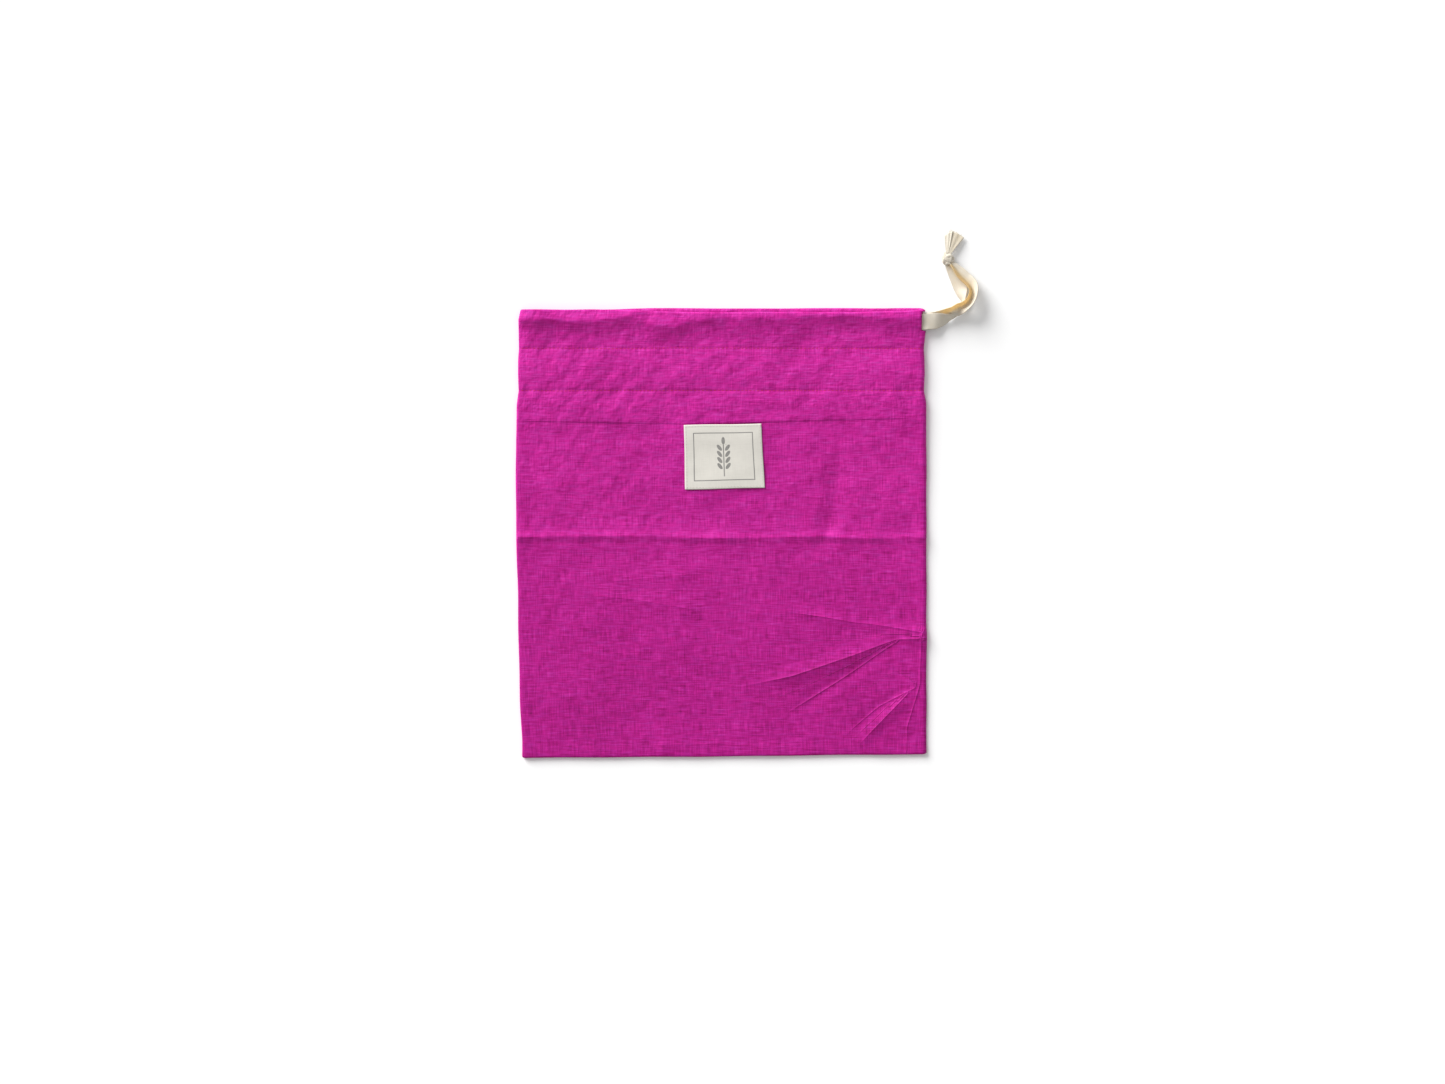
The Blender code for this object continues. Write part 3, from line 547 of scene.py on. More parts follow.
def tape_end(name, table, tail):
    """One tape end from the slot through the knot to its cut end, and the path of its middle."""
    strand, glow = strand_grid(table, STRAND_SAMPLES)
    fan = tail_grid(tail, TAIL_SAMPLES)[:, ::-1]
    t = np.linspace(0.0, 1.0, BUNCH_SAMPLES + 2)[1:-1][:, None, None]
    waist = KNOT + np.linspace(0.5, -0.5, TAPE_ACROSS + 1)[:, None] * BUNCH_WIDTH * np.array([1.0, 0.0, 0.3])
    bunch = strand[-1] * (1 - t) ** 2 + 2 * t * (1 - t) * waist + fan[0] * t ** 2    # a quadratic curve
    points = np.vstack([strand, bunch, fan])
    middle = points.mean(axis=1)
    run = np.concatenate([[0.0], np.cumsum(np.linalg.norm(np.diff(middle, axis=0), axis=1))])
    across = np.linspace(0.0, TAPE_WIDTH, TAPE_ACROSS + 1)
    flat = np.stack(np.broadcast_arrays(across[None, :], run[:, None]), axis=-1)
    edge = np.abs(np.linspace(-1.0, 1.0, TAPE_ACROSS + 1))
    past = np.full((BUNCH_SAMPLES + TAIL_SAMPLES, TAPE_ACROSS + 1), tail.glow)
    marks = tape_marks(np.vstack([glow, past]), np.broadcast_to(edge[None, :], points.shape[:2]))
    piece = grid_piece(name, points, flat, TAPE_THICK, marks, offset=0.0)
    print(name, "is", round(float(run[-1]), 1), "mm long")
    return piece, middle, float(run[-1])


tape_upper, upper_path, upper_length = tape_end("tape_upper", UPPER_END, RIGHT_TAIL)
tape_lower, lower_path, lower_length = tape_end("tape_lower", LOWER_END, LEFT_TAIL)
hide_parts("tape_end_upper", "tape_tail_right")
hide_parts("tape_end_lower", "tape_tail_left")

# %% [markdown]
# ## The knot
#
# Both ends are tied in one overhand knot, pulled tight into a flattened ball. It is built as three
# turns of bunched tape round a core. Each turn is a band carried round the ball on its own tilted
# circle, so the band is a grid: once round in one direction, and across a rounded, pleated profile in
# the other.

# %% Knot
Turn = namedtuple("Turn", "pole offset width swell pleats phase")
TURNS = (
    Turn((0.62, 0.66, 0.42), 0.30, 0.30, 0.8, 2, 0.3),
    Turn((-0.78, 0.30, 0.55), 0.02, 0.32, 0.7, 2, 1.7),
    Turn((0.35, -0.75, 0.56), 0.42, 0.28, 0.75, 2, 0.9),
)
TURN_ROUND, TURN_ACROSS = 72, 20
CORE_ROUND, CORE_UP = 32, 17
CORE_SHARE = 0.86            # the core's radius, as a share of the knot's
TURN_CRIMP, TURN_UNEVEN = 0.2, 0.12
KNOT_SQUASH = np.array([1.0, 1.0, 0.48])    # the ball is flattened


def knot_turn(turn):
    """A closed band: round the circle at angle a and once round its own oval profile at angle b. The radius
    swells in the middle of the band and carries pleats that run along it."""
    pole = np.array(turn.pole) / np.linalg.norm(turn.pole)
    side = np.cross(pole, (0.0, 0.0, 1.0))
    side /= np.linalg.norm(side)
    up = np.cross(pole, side)
    a = np.linspace(0.0, 2 * math.pi, TURN_ROUND, endpoint=False)[:, None]
    b = np.linspace(0.0, 2 * math.pi, TURN_ACROSS, endpoint=False)[None, :]
    tilt = turn.offset + 0.10 * np.sin(a + turn.phase) + turn.width * np.cos(b)
    proud = turn.swell * np.maximum(np.sin(b), -0.6)
    pleats = np.cos(turn.pleats * 2 * b + 1.5 * np.sin(2 * a + turn.phase))
    crimp = TURN_CRIMP * pleats * np.clip(np.sin(b), 0, 1)
    radius = KNOT_CORE * CORE_SHARE + proud + crimp + TURN_UNEVEN * np.sin(3 * a + turn.phase)
    out = np.cos(a)[..., None] * side + np.sin(a)[..., None] * up
    direction = np.cos(tilt)[..., None] * out + np.sin(tilt)[..., None] * pole
    return KNOT + radius[..., None] * direction * KNOT_SQUASH


def knot_core():
    """A ball under the turns: latitude and longitude, a little smaller than the turns."""
    a = np.linspace(0.0, 2 * math.pi, CORE_ROUND, endpoint=False)[None, :]
    b = np.linspace(-0.5 * math.pi, 0.5 * math.pi, CORE_UP)[:, None]
    ball = np.stack(np.broadcast_arrays(np.cos(b) * np.cos(a), np.cos(b) * np.sin(a), np.sin(b)), axis=-1)
    return KNOT + ball * KNOT_CORE * CORE_SHARE * KNOT_SQUASH


def joined(grids, closed_rows):
    """Points and faces of several grids that close round their columns, and round their rows if asked."""
    points, faces, first = [], [], 0
    for grid, closed in zip(grids, closed_rows):
        loop = np.concatenate([grid, grid[:1]]) if closed else grid
        quads = grid_faces(loop.shape[0], loop.shape[1], around=True)
        quads = quads % (grid.shape[0] * grid.shape[1])
        points.append(grid.reshape(-1, 3))
        faces.append(quads + first)
        first += points[-1].shape[0]
    return np.vstack(points), np.vstack(faces)


DOUBLED = 0.001              # points this near to each other at the core's poles are one

knot_points, knot_faces = joined([knot_core()] + [knot_turn(t) for t in TURNS], [False, True, True, True])
knot_flat = knot_points[knot_faces.ravel()][:, :2]
no_mark = np.zeros(len(knot_points))
knot = make_piece("knot", knot_points, knot_faces.tolist(), knot_flat,
                  tape_marks(no_mark, no_mark))
face_outwards(knot, DOUBLED)
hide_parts("tape_knot")

print("knot is", round(2 * KNOT_CORE), "mm across")

# %% [markdown]
# ## The bag as one sheet
#
# The real bag is one rectangle of linen: folded at the left, sewn along the bottom and the right side,
# and turned inside at the mouth as a deep hem. A single closed ring of points at each level of the bag
# follows that sheet: along the front, round the seam, along the back and round the left fold. The rings
# run from the bottom edge up the outside, over the rim and down the flap inside the hem. Only the slot
# in the right seam is left open. The columns stand closer where the creases fan out, because a sharp
# crest needs points on both of its sides.

# %% Grid of the bag
Span = namedtuple("Span", "end step")
COLUMNS = (Span(0.46, 60), Span(1.0, 102))
BACK_STEP = 6                # the plain back keeps every sixth column
FOLD_STEPS = 7
FOLD_WIDTH = 0.5             # the ironed fold at the left is half as wide as it is high
FLAP_BULGE = 0.7             # the flap's fold inside the seam
FLAP_LIFT, FLAP_AIR = 0.6, 0.35
SEAM_LIP, SEAM_BULGE, SLOT_SETBACK, RIM_REACH = 1.3, 2.05, 2.6, 1.3
SIDE_INSET = 0.5             # the plain run stops this far inside the outline
BEND_START, BEND_RUN = -95.0, 60.0   # below the first level the rows bend to the bottom edge
HEM_FOLLOW, FOLLOW_GROWTH = 22.0, 1.6
BACK_PULL = 0.12             # the stitches lift the back by this much

Edge = namedtuple("Edge", "y left right")
OUTLINE = (
    Edge(-166.1, -147.6, 152.1), Edge(-152.8, -147.6, 152.1), Edge(-123.2, -149.1, 152.1),
    Edge(-93.6, -149.9, 152.1), Edge(-49.2, -150.6, 152.1), Edge(10.0, -152.1, 152.1),
    Edge(69.2, -152.1, 152.1), Edge(94.4, -151.3, 151.8), Edge(105.5, -149.9, 150.3),
    Edge(118.0, -150.6, 151.0), Edge(128.4, -150.6, 150.6), Edge(137.0, -149.9, 149.9),
    Edge(149.8, -149.9, 151.6), Edge(158.0, -149.9, 151.8), Edge(163.9, -148.6, 151.6),
)


def spread(first, spans):
    """Places from first on, evenly spaced within each span."""
    places = [np.array([first], float)]
    for span in spans:
        places.append(np.linspace(places[-1][-1], span.end, span.step + 1)[1:])
    return np.concatenate(places)


SHARES = spread(0.0, COLUMNS)
TURN_ANGLES = np.radians(np.linspace(90.0, -90.0, FOLD_STEPS + 2)[1:-1])
FRONT_COUNT = len(SHARES)
BACK_COUNT = (FRONT_COUNT - 1) // BACK_STEP + 1


def side_centres(y):
    """Where the front's plain run ends at the left fold and at the seam, at level y."""
    left = np.interp(y, read(OUTLINE, "y"), read(OUTLINE, "left")) + 0.18 * math.sin(y / 9.0)
    right = np.interp(y, read(OUTLINE, "y"), read(OUTLINE, "right")) + 0.14 * math.sin(y / 7.0 + 1.0)
    radius_left = (front_height(left, y) - BACK) / 2
    radius_right = (front_height(right, y) - BACK) / 2
    right_end = right - SIDE_INSET - min(radius_right, SEAM_BULGE) - SEAM_LIP
    return left + SIDE_INSET + radius_left * FOLD_WIDTH, right_end


def ring(left, right, bulge, lip, front, back):
    """One closed ring of the sheet. front and back give (y, z) at given x. The side folds are half ellipses
    between their ends, leaning out by lip at the seam, where the back reaches past the front."""
    x_front = left + (right - left) * SHARES
    x_back = (left + (right + lip - left) * SHARES)[::BACK_STEP][::-1]
    y_front, z_front = front(x_front)
    y_back, z_back = back(x_back)
    up, out = np.sin(TURN_ANGLES), np.cos(TURN_ANGLES)

    def between(at_front, at_back):
        return (at_front + at_back) / 2 + (at_front - at_back) / 2 * up

    seam = np.column_stack([right + bulge * out + lip * (1 - up) / 2, between(y_front[-1], y_back[0]),
                            between(z_front[-1], z_back[0])])
    fold_out = (z_front[0] - z_back[-1]) / 2 * FOLD_WIDTH * out
    fold = np.column_stack([left - fold_out, between(y_front[0], y_back[-1]),
                            between(z_front[0], z_back[-1])])[::-1]
    return np.vstack([np.column_stack([x_front, y_front, z_front]), seam,
                      np.column_stack([x_back, y_back, z_back]), fold])


def warped(x, y):
    """A row's level at x: the bottom rows follow the bottom edge, and those at the hem its turned edge."""
    bottom = (level_at(BOTTOM_LINE, x) - BOTTOM) * np.clip((BEND_START - y) / BEND_RUN, 0.0, 1.0)
    near_hem = np.clip(1.0 - abs(y - HEM_MIDDLE) / HEM_FOLLOW, 0.0, 1.0)
    return y + bottom + (level_at(HEM_LINE, x) - HEM_MIDDLE) * min(1.0, FOLLOW_GROWTH * near_hem)


def front_level(x, y):
    """A row's level on the front, where the rows near the mouth also follow its edge."""
    return warped(x, y) + (level_at(RIM_LINE, x) - RIM_FRONT) * ease(y, SLOT_LOW, RIM_START)


def back_height(y):
    """The back lies on the table, lifted a hair where the stitches pull it in."""
    upper, lower = (np.exp(-((y - row) / 1.2) ** 2) for row in (STITCH_UPPER, STITCH_LOWER))
    return BACK + BACK_PULL * upper + BACK_PULL * lower


def inner_height(x, y):
    """The flap under the front: straight inside the hem, and lying under the tape in the casing."""
    in_casing = ease(y, STITCH_UPPER, SLOT_LOW)
    under_tape = hem_height(x, y) - 2 * CLOTH - TAPE_THICK - FLAP_AIR
    return (FRONT_FLAP + 0.22) * (1.0 - in_casing) + under_tape * in_casing


def outer_ring(y):
    """The outside of the bag at level y."""
    left, right = side_centres(y)
    bulge = min((front_height(right, y) - BACK) / 2, SEAM_BULGE)
    return ring(left, right, bulge, SEAM_LIP,
                lambda x: (front_level(x, y), front_height(x, front_level(x, y))),
                lambda x: (warped(x, y), back_height(warped(x, y))))


def bottom_ring(angle):
    """The rounded bottom edge, from where front and back nearly meet to where they lie flat at 90 degrees."""
    lift, reach = math.sin(math.radians(angle)), 1.0 - math.cos(math.radians(angle))
    left, right = side_centres(BOTTOM)
    inset = CORNER * (1.0 - lift) * 0.8
    radius = (front_height(right, BOTTOM + CORNER) - BACK) / 2

    def half(x, sign):
        top = front_height(x, BOTTOM + CORNER)
        level = level_at(BOTTOM_LINE, x) + 0.5 + radius * reach + 0.12 * np.sin(x / 11.0)
        return level, (top + BACK) / 2 + sign * (top - BACK) / 2 * lift

    return ring(left + inset, right - inset, radius * lift, SEAM_LIP,
                lambda x: half(x, 1.0), lambda x: half(x, -1.0))


def rim_ring(angle):
    """The fold over the mouth, from the outside at 90 degrees to the flap at -90."""
    up, out = math.sin(math.radians(angle)), math.cos(math.radians(angle))

    def front(x):
        fold = front_level(x, RIM_START)
        outer, flap = hem_height(x, fold), inner_height(x, fold)
        level = fold + RIM_REACH * out + 0.25 * rumple(x, 0 * x, 19, 19, 29) * out
        return level, (outer + flap) / 2 + (outer - flap) / 2 * up

    def back(x):
        shown = ease(x, -90.0, -60.0)
        shown = shown * (RIM_BACK - RIM_FRONT + 0.5) * out
        level = RIM_START + shown + RIM_REACH * out + 0.3 * rumple(x, 0 * x, 23, 23, 31) * out
        flap = BACK_FLAP + FLAP_LIFT
        return level, np.full(x.shape, (BACK + flap) / 2 - (flap - BACK) / 2 * up)

    left, right = side_centres(RIM_START)
    outside = (1.0 + up) / 2
    bulge = SEAM_BULGE * outside + FLAP_BULGE * (1.0 - outside)
    return ring(left, right - SLOT_SETBACK * (1.0 - outside), bulge, SEAM_LIP * outside, front, back)


def flap_ring(y):
    """The hem's flap inside the bag at level y."""
    left, right = side_centres(y)
    in_casing = ease(y, STITCH_UPPER, SLOT_LOW)
    lift = FLAP_LIFT * in_casing
    return ring(left, right - SLOT_SETBACK * in_casing, FLAP_BULGE, 0.0,
                lambda x: (warped(x, y), inner_height(x, warped(x, y))),
                lambda x: (warped(x, y), np.full(x.shape, BACK_FLAP + lift)))


# %% [markdown]
# The rings stand closest where the height changes fast: at the middle crease, at the step under the hem
# and over the rim. The list of spans below is the whole plan of the grid.
#
# A fine line along a crease is thinner than the grid. Each point therefore carries its signed distance
# to the nearest crease. Between two points that number changes evenly, so the material can find the
# line exactly where it passes through zero, and raise it as a bump.

# %% The bag's mesh
OUTER_SPANS = (
    Span(-55.0, 70), Span(-12.0, 18), Span(8.0, 22), Span(78.0, 28), Span(HEM_MIDDLE - HEM_STEP, 4),
    Span(HEM_MIDDLE, 4), Span(102.0, 11), Span(109.0, 8), Span(133.0, 14), Span(140.0, 8), Span(SLOT_LOW, 7),
    Span(RIM_START, 12),
)
BOTTOM_ANGLES = np.linspace(14.0, 90.0, 7)
RIM_ANGLES = np.linspace(90.0, -90.0, 11)
FLAP_LEVELS = (161.0, 155.0, SLOT_LOW, 145.0, 140.5, STITCH_UPPER, 121.0, STITCH_LOWER, 96.0, FLAP_END)

outer_levels = spread(BOTTOM + 3.5, OUTER_SPANS)
rings = [bottom_ring(a) for a in BOTTOM_ANGLES] + [outer_ring(y) for y in outer_levels]
slot_first = len(BOTTOM_ANGLES) + int(np.argmin(np.abs(outer_levels - SLOT_LOW)))
slot_last = len(rings) - 1
rings += [rim_ring(a) for a in RIM_ANGLES[1:]] + [flap_ring(y) for y in FLAP_LEVELS]
rings = np.array(rings)

ring_count, point_count = rings.shape[:2]
quads = grid_faces(ring_count, point_count, around=True).reshape(ring_count - 1, point_count, 4)
open_slot = np.zeros((ring_count - 1, point_count), bool)
open_slot[slot_first:slot_last + 1, FRONT_COUNT - 1:FRONT_COUNT + FOLD_STEPS] = True
kept = quads[~open_slot]

back_first = FRONT_COUNT + FOLD_STEPS
cap = [[back_first + BACK_COUNT - 2 - s, back_first + BACK_COUNT - 1 - s,
        *range(s * BACK_STEP, (s + 1) * BACK_STEP + 1)][::-1] for s in range(BACK_COUNT - 1)]
cap.append(list(range(FRONT_COUNT - 1, back_first + 1))[::-1])
cap.append([0, *range(point_count - 1, back_first + BACK_COUNT - 2, -1)])
faces = kept.tolist() + cap

middle_ring = rings[len(rings) // 3]
around = np.concatenate([[0.0], np.cumsum(np.linalg.norm(np.diff(middle_ring, axis=0), axis=1))])
turn_length = around[-1] + float(np.linalg.norm(middle_ring[0] - middle_ring[-1]))
up_column = np.linalg.norm(np.diff(rings[:, FRONT_COUNT // 3], axis=0), axis=1)
up = np.concatenate([[0.0], np.cumsum(up_column)])
flat_grid = np.stack(np.broadcast_arrays(around[None, :], up[:, None]), axis=-1).reshape(-1, 2)
corners = np.concatenate([np.array(f) for f in faces])
corner_flat = flat_grid[corners].copy()
quad_corners = corner_flat[:kept.size].reshape(-1, 4, 2)
wrapped = (kept % point_count)[:, 0] == point_count - 1
quad_corners[wrapped, 1:3, 0] = turn_length
corner_flat[:kept.size] = quad_corners.reshape(-1, 2)

ring_x, ring_y = rings[..., 0], rings[..., 1]
on_front = np.zeros((ring_count, point_count))
on_front[:slot_last + 1, :FRONT_COUNT + 3] = 1.0
nearest, fine_rise = np.full(ring_x.shape, np.inf), np.zeros(ring_x.shape)
for crease in CREASES:
    if crease.fine:
        distance, grown = from_crease(ring_x, ring_y, crease)
        nearer = np.abs(distance) < np.abs(nearest)
        nearest = np.where(nearer, distance, nearest)
        fine_rise = np.where(nearer, crease.fine * grown, fine_rise)
marks = {"fine_at": nearest, "fine_rise": fine_rise * on_front,
         "rough": roughness(ring_y), "pull": pull(ring_x)}

bag = make_piece("linen_bag", rings, faces, corner_flat, marks)
face_outwards(bag)
thicken(bag, CLOTH, 1.0)
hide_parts("bag")

# %% [markdown]
# Inside the casing the tape runs along the front, round the left fold and back along the back. It can
# only be seen by looking in at the slot, but the bank of the casing lies on it, so it is here too, just
# under the cloth.

# %% Tape in the casing
TAPE_LOW, TAPE_HIGH = 150.0, 161.3
TAPE_START, TAPE_TURN = 147.0, -146.0    # where the run begins at the slot and turns at the left fold
RUN_POINTS, TURN_POINTS, RUN_ROWS = 120, 9, 7
RUN_STEP = 2.44              # about the way from one point of the run to the next
HIDDEN_THICK = 0.5


def casing_run():
    """Three sides of a long loop at each of a few levels: front, half circle round the fold, back."""
    y = np.linspace(TAPE_LOW, TAPE_HIGH, RUN_ROWS)[:, None]
    x = np.linspace(TAPE_START, TAPE_TURN, RUN_POINTS)[None, :]
    z_front = hem_height(x, y) - CLOTH - TAPE_THICK / 2
    z_back = BACK + LAYER
    angle = np.linspace(0.5, -0.5, TURN_POINTS)[None, 1:-1] * math.pi
    radius = (z_front[:, -1:] - z_back) / 2
    x_turn = TAPE_TURN - radius * np.cos(angle) * 0.9
    z_turn = z_back + radius * (1.0 + np.sin(angle))
    z = np.hstack([z_front, z_turn, np.full(z_front.shape, z_back)])
    forth, back = (np.broadcast_to(line, z_front.shape) for line in (x, x[:, ::-1]))
    x = np.hstack([forth, x_turn, back])
    return np.dstack([x, np.broadcast_to(y, x.shape), z])


run = casing_run()
run_along = np.broadcast_to(np.arange(run.shape[1]) * RUN_STEP, run.shape[:2])
no_mark = np.zeros(run.shape[:2])
hidden = grid_piece("tape_in_casing_run", run, np.stack([run[..., 1], run_along], axis=-1),
                    HIDDEN_THICK, tape_marks(no_mark, no_mark), offset=0.0)
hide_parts("tape_in_casing")
print("tape in the casing:", round(2 * (TAPE_START - TAPE_TURN)), "mm of it")

# %% [markdown]
# ## The label
#
# A small rectangle of cotton, turned under and sewn on all round, just below the hem. It follows the
# bag's front: its edges are held down by the thread and its middle stands a little free. The top right
# corner has curled up by a hair.

# %% Label
LABEL_CORNERS = ((-27.8, 80.1), (29.3, 81.1), (31.9, 33.8), (-26.9, 32.4))    # clockwise from the top left
LABEL_WIDTH, LABEL_DEPTH = 58.0, 48.0
LABEL_THICK = 0.5
LABEL_SEAM = 1.5             # the sewing runs this far inside the edge
LABEL_LIFT, LABEL_TOP = 1.05, 77.0   # over the cloth's middle; above this level it keeps the same height
CURL_RISE, CURL_REACH = 0.9, 2.6     # the curled corner
NEAR_X, NEAR_Y = (-9, -3, 3, 9), (-9, -3, 3)    # the label bridges dents: a mean over these places


def label_plan(u, v):
    """Point in plan at u across and v up the label, between its four corners, with barely bowed edges."""
    corner = np.array(LABEL_CORNERS, float)
    u, v = np.broadcast_arrays(u, v)
    top = corner[0] * (1 - u[..., None]) + corner[1] * u[..., None]
    bottom = corner[3] * (1 - u[..., None]) + corner[2] * u[..., None]
    plan = bottom * (1 - v[..., None]) + top * v[..., None]
    plan[..., 1] += 0.25 * np.sin(7.0 * u) * (v - 0.5)
    plan[..., 0] += 0.25 * np.sin(6.0 * v + 1.0) * (u - 0.5)
    return plan


def label_height(u, v):
    """Height of the label's underside: on the cloth at its edges, free in the middle, with one corner
    curled."""
    plan = label_plan(u, v)
    inside = np.minimum(np.minimum(u, 1 - u) * LABEL_WIDTH, np.minimum(v, 1 - v) * LABEL_DEPTH)
    free = ease(inside, 0.8, 5.0)
    sewn = np.exp(-((inside - LABEL_SEAM) / 0.7) ** 2)
    from_corner = np.hypot((1 - u) * LABEL_WIDTH, (1 - v) * LABEL_DEPTH)
    curl = CURL_RISE * ease(CURL_REACH - from_corner, 0.0, CURL_REACH)
    slack = 0.10 * rumple(plan[..., 0], plan[..., 1], 22, 7, 37)
    level = np.minimum(plan[..., 1], LABEL_TOP)
    base = np.mean([body_height(plan[..., 0] + dx, level + dy) for dx in NEAR_X for dy in NEAR_Y], axis=0)
    return base + LABEL_LIFT + 0.03 * free - 0.02 * sewn + curl + slack * free


u_label, v_label = np.linspace(0, 1, 72)[None, :], np.linspace(0, 1, 60)[:, None]
label_points = np.dstack([label_plan(u_label, v_label), label_height(*np.broadcast_arrays(u_label, v_label))])
label_flat = np.stack(np.broadcast_arrays(u_label * LABEL_WIDTH, v_label * LABEL_DEPTH), axis=-1)
label = grid_piece("label_cloth", label_points, label_flat, LABEL_THICK)
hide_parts("label")
print("label:", round(LABEL_WIDTH), "by", round(LABEL_DEPTH), "mm")

# %% [markdown]
# ## Stitches
#
# A lockstitch shows as a row of short threads, each dipping into the cloth at both ends. A stitch is a
# grid too: along it runs a rise that is a half sine, and round it a circle whose radius is the
# thread's. All stitches of a row are worked out at once, as one array with the stitch number as its
# first index.

# %% Stitches
Thread = namedtuple("Thread", "pitch length thick slot")
BAG_THREAD = Thread(2.9, 2.3, 0.42, "thread")
LABEL_THREAD = Thread(2.3, 1.75, 0.26, "label_cotton")
STITCH_ALONG, STITCH_ROUND = 6, 5
STITCH_RISE, STITCH_SINK = 0.16, 0.10
ROW_END = 147.0              # the rows stop just inside the side folds
BACK_STITCH_Z = 0.29
SLOPE_STEP = 0.6             # slopes are measured over this distance on both sides


def stitches(name, thread, centres, directions, normals):
    """One mesh of stitches. Its points are centre + along + rise + the circle round the thread."""
    t = np.linspace(-1.0, 1.0, STITCH_ALONG)
    a = np.linspace(0.0, 2 * math.pi, STITCH_ROUND, endpoint=False)
    sideways = np.cross(normals, directions)
    taper = np.sqrt(np.clip(1.04 - t ** 2, 0.0, 1.0))
    rise = STITCH_RISE * np.cos(t * math.pi / 2) - STITCH_SINK
    along = directions[:, None, None, :] * (t * thread.length / 2)[None, :, None, None]
    lift = normals[:, None, None, :] * rise[None, :, None, None]
    circle = (np.cos(a)[None, None, :, None] * sideways[:, None, None, :]
              + np.sin(a)[None, None, :, None] * normals[:, None, None, :])
    thickness = (taper * thread.thick / 2)[None, :, None, None]
    points = centres[:, None, None, :] + along + lift + circle * thickness
    count, rows, columns = points.shape[:3]
    sides, lids = tube_faces(count, rows, columns)
    flat = np.zeros((sides.size + columns * len(lids), 2))
    in_stitch = sides % (rows * columns)
    flat[:sides.size] = np.stack([in_stitch // columns, sides % columns], axis=-1).reshape(-1, 2)
    face_outwards(make_piece(name, points, sides.tolist() + lids, flat))
    print(name, count, "stitches")


def surface_stitches(name, thread, plan, height):
    """Stitches along a line of points in plan, on a surface given by its height: the direction comes from the
    line and the normal from the surface's slopes."""
    plan = np.asarray(plan, float)
    x, y = plan.T
    z, step = height(x, y), SLOPE_STEP
    slope_x = (height(x + step, y) - height(x - step, y)) / (2 * step)
    slope_y = (height(x, y + step) - height(x, y - step)) / (2 * step)
    normals = np.column_stack([-slope_x, -slope_y, np.ones(len(plan))])
    normals /= np.linalg.norm(normals, axis=1)[:, None]
    run = np.gradient(plan, axis=0)
    directions = np.column_stack([run, slope_x * run[:, 0] + slope_y * run[:, 1]])
    directions /= np.linalg.norm(directions, axis=1)[:, None]
    stitches(name, thread, np.column_stack([plan, z]), directions, normals)


def stitch_line(level, pitch, seed):
    """Plan of a row across the bag: even steps with the small wander of a hand-guided machine."""
    x = np.arange(-ROW_END, ROW_END, pitch)
    wander, tremble = rumple(x, 0 * x, 40, 40, seed), rumple(x, 0 * x, 5, 5, seed + 1)
    return np.column_stack([x, level + 0.35 * wander + 0.08 * tremble])


for row_name, level, seed in (("stitches_upper", STITCH_UPPER, 41), ("stitches_lower", STITCH_LOWER, 43)):
    plan = stitch_line(level, BAG_THREAD.pitch, seed)
    surface_stitches(row_name, BAG_THREAD, plan, lambda x, y: hem_height(x, y) + CLOTH)
    zeros = np.zeros(len(plan))
    stitches(row_name + "_back", BAG_THREAD, np.column_stack([plan, zeros + BACK_STITCH_Z]),
             np.column_stack([zeros + 1, zeros, zeros]), np.column_stack([zeros, zeros, zeros - 1]))

# %% [markdown]
# The label's own sewing goes once round, a constant way inside its edge. Its plan comes from the
# label's surface, so the row follows the label's slightly crooked sides.

# %% Label sewing
SEWING_LIFT = 0.03           # the thread lies this far over the label's face
inset_u, inset_v = LABEL_SEAM / LABEL_WIDTH, LABEL_SEAM / LABEL_DEPTH
across_u = np.arange(inset_u, 1 - inset_u, LABEL_THREAD.pitch / LABEL_WIDTH)
up_v = np.arange(inset_v, 1 - inset_v, LABEL_THREAD.pitch / LABEL_DEPTH)
sides_of_label = {
    "bottom": (across_u, np.full(across_u.shape, inset_v)),
    "top": (across_u, np.full(across_u.shape, 1 - inset_v)),
    "left": (np.full(up_v.shape, inset_u), up_v),
    "right": (np.full(up_v.shape, 1 - inset_u), up_v),
}
for side, (u, v) in sides_of_label.items():
    centres = np.column_stack([label_plan(u, v), label_height(u, v) + LABEL_THICK + SEWING_LIFT])
    directions = np.gradient(centres, axis=0)
    directions /= np.linalg.norm(directions, axis=1)[:, None]
    normals = np.cross(directions, np.cross((0.0, 0.0, 1.0), directions))
    stitches("label_sewing_" + side, LABEL_THREAD, centres, directions, normals)

# %% [markdown]
# ## Frayed ends
#
# The tape was cut with scissors, and its warp threads stand out of the cut. Each is a thin tapered
# thread with a random bend, made like a stitch but with a curved middle line.

# %% Frays
FRAY_RADIUS, FRAY_SHORTEST, FRAY_LONGEST = 0.11, 0.5, 1.9
FRAY_ALONG, FRAY_ROUND = 6, 4
FRAY_LOWEST = 0.25           # a thread never comes nearer to the table


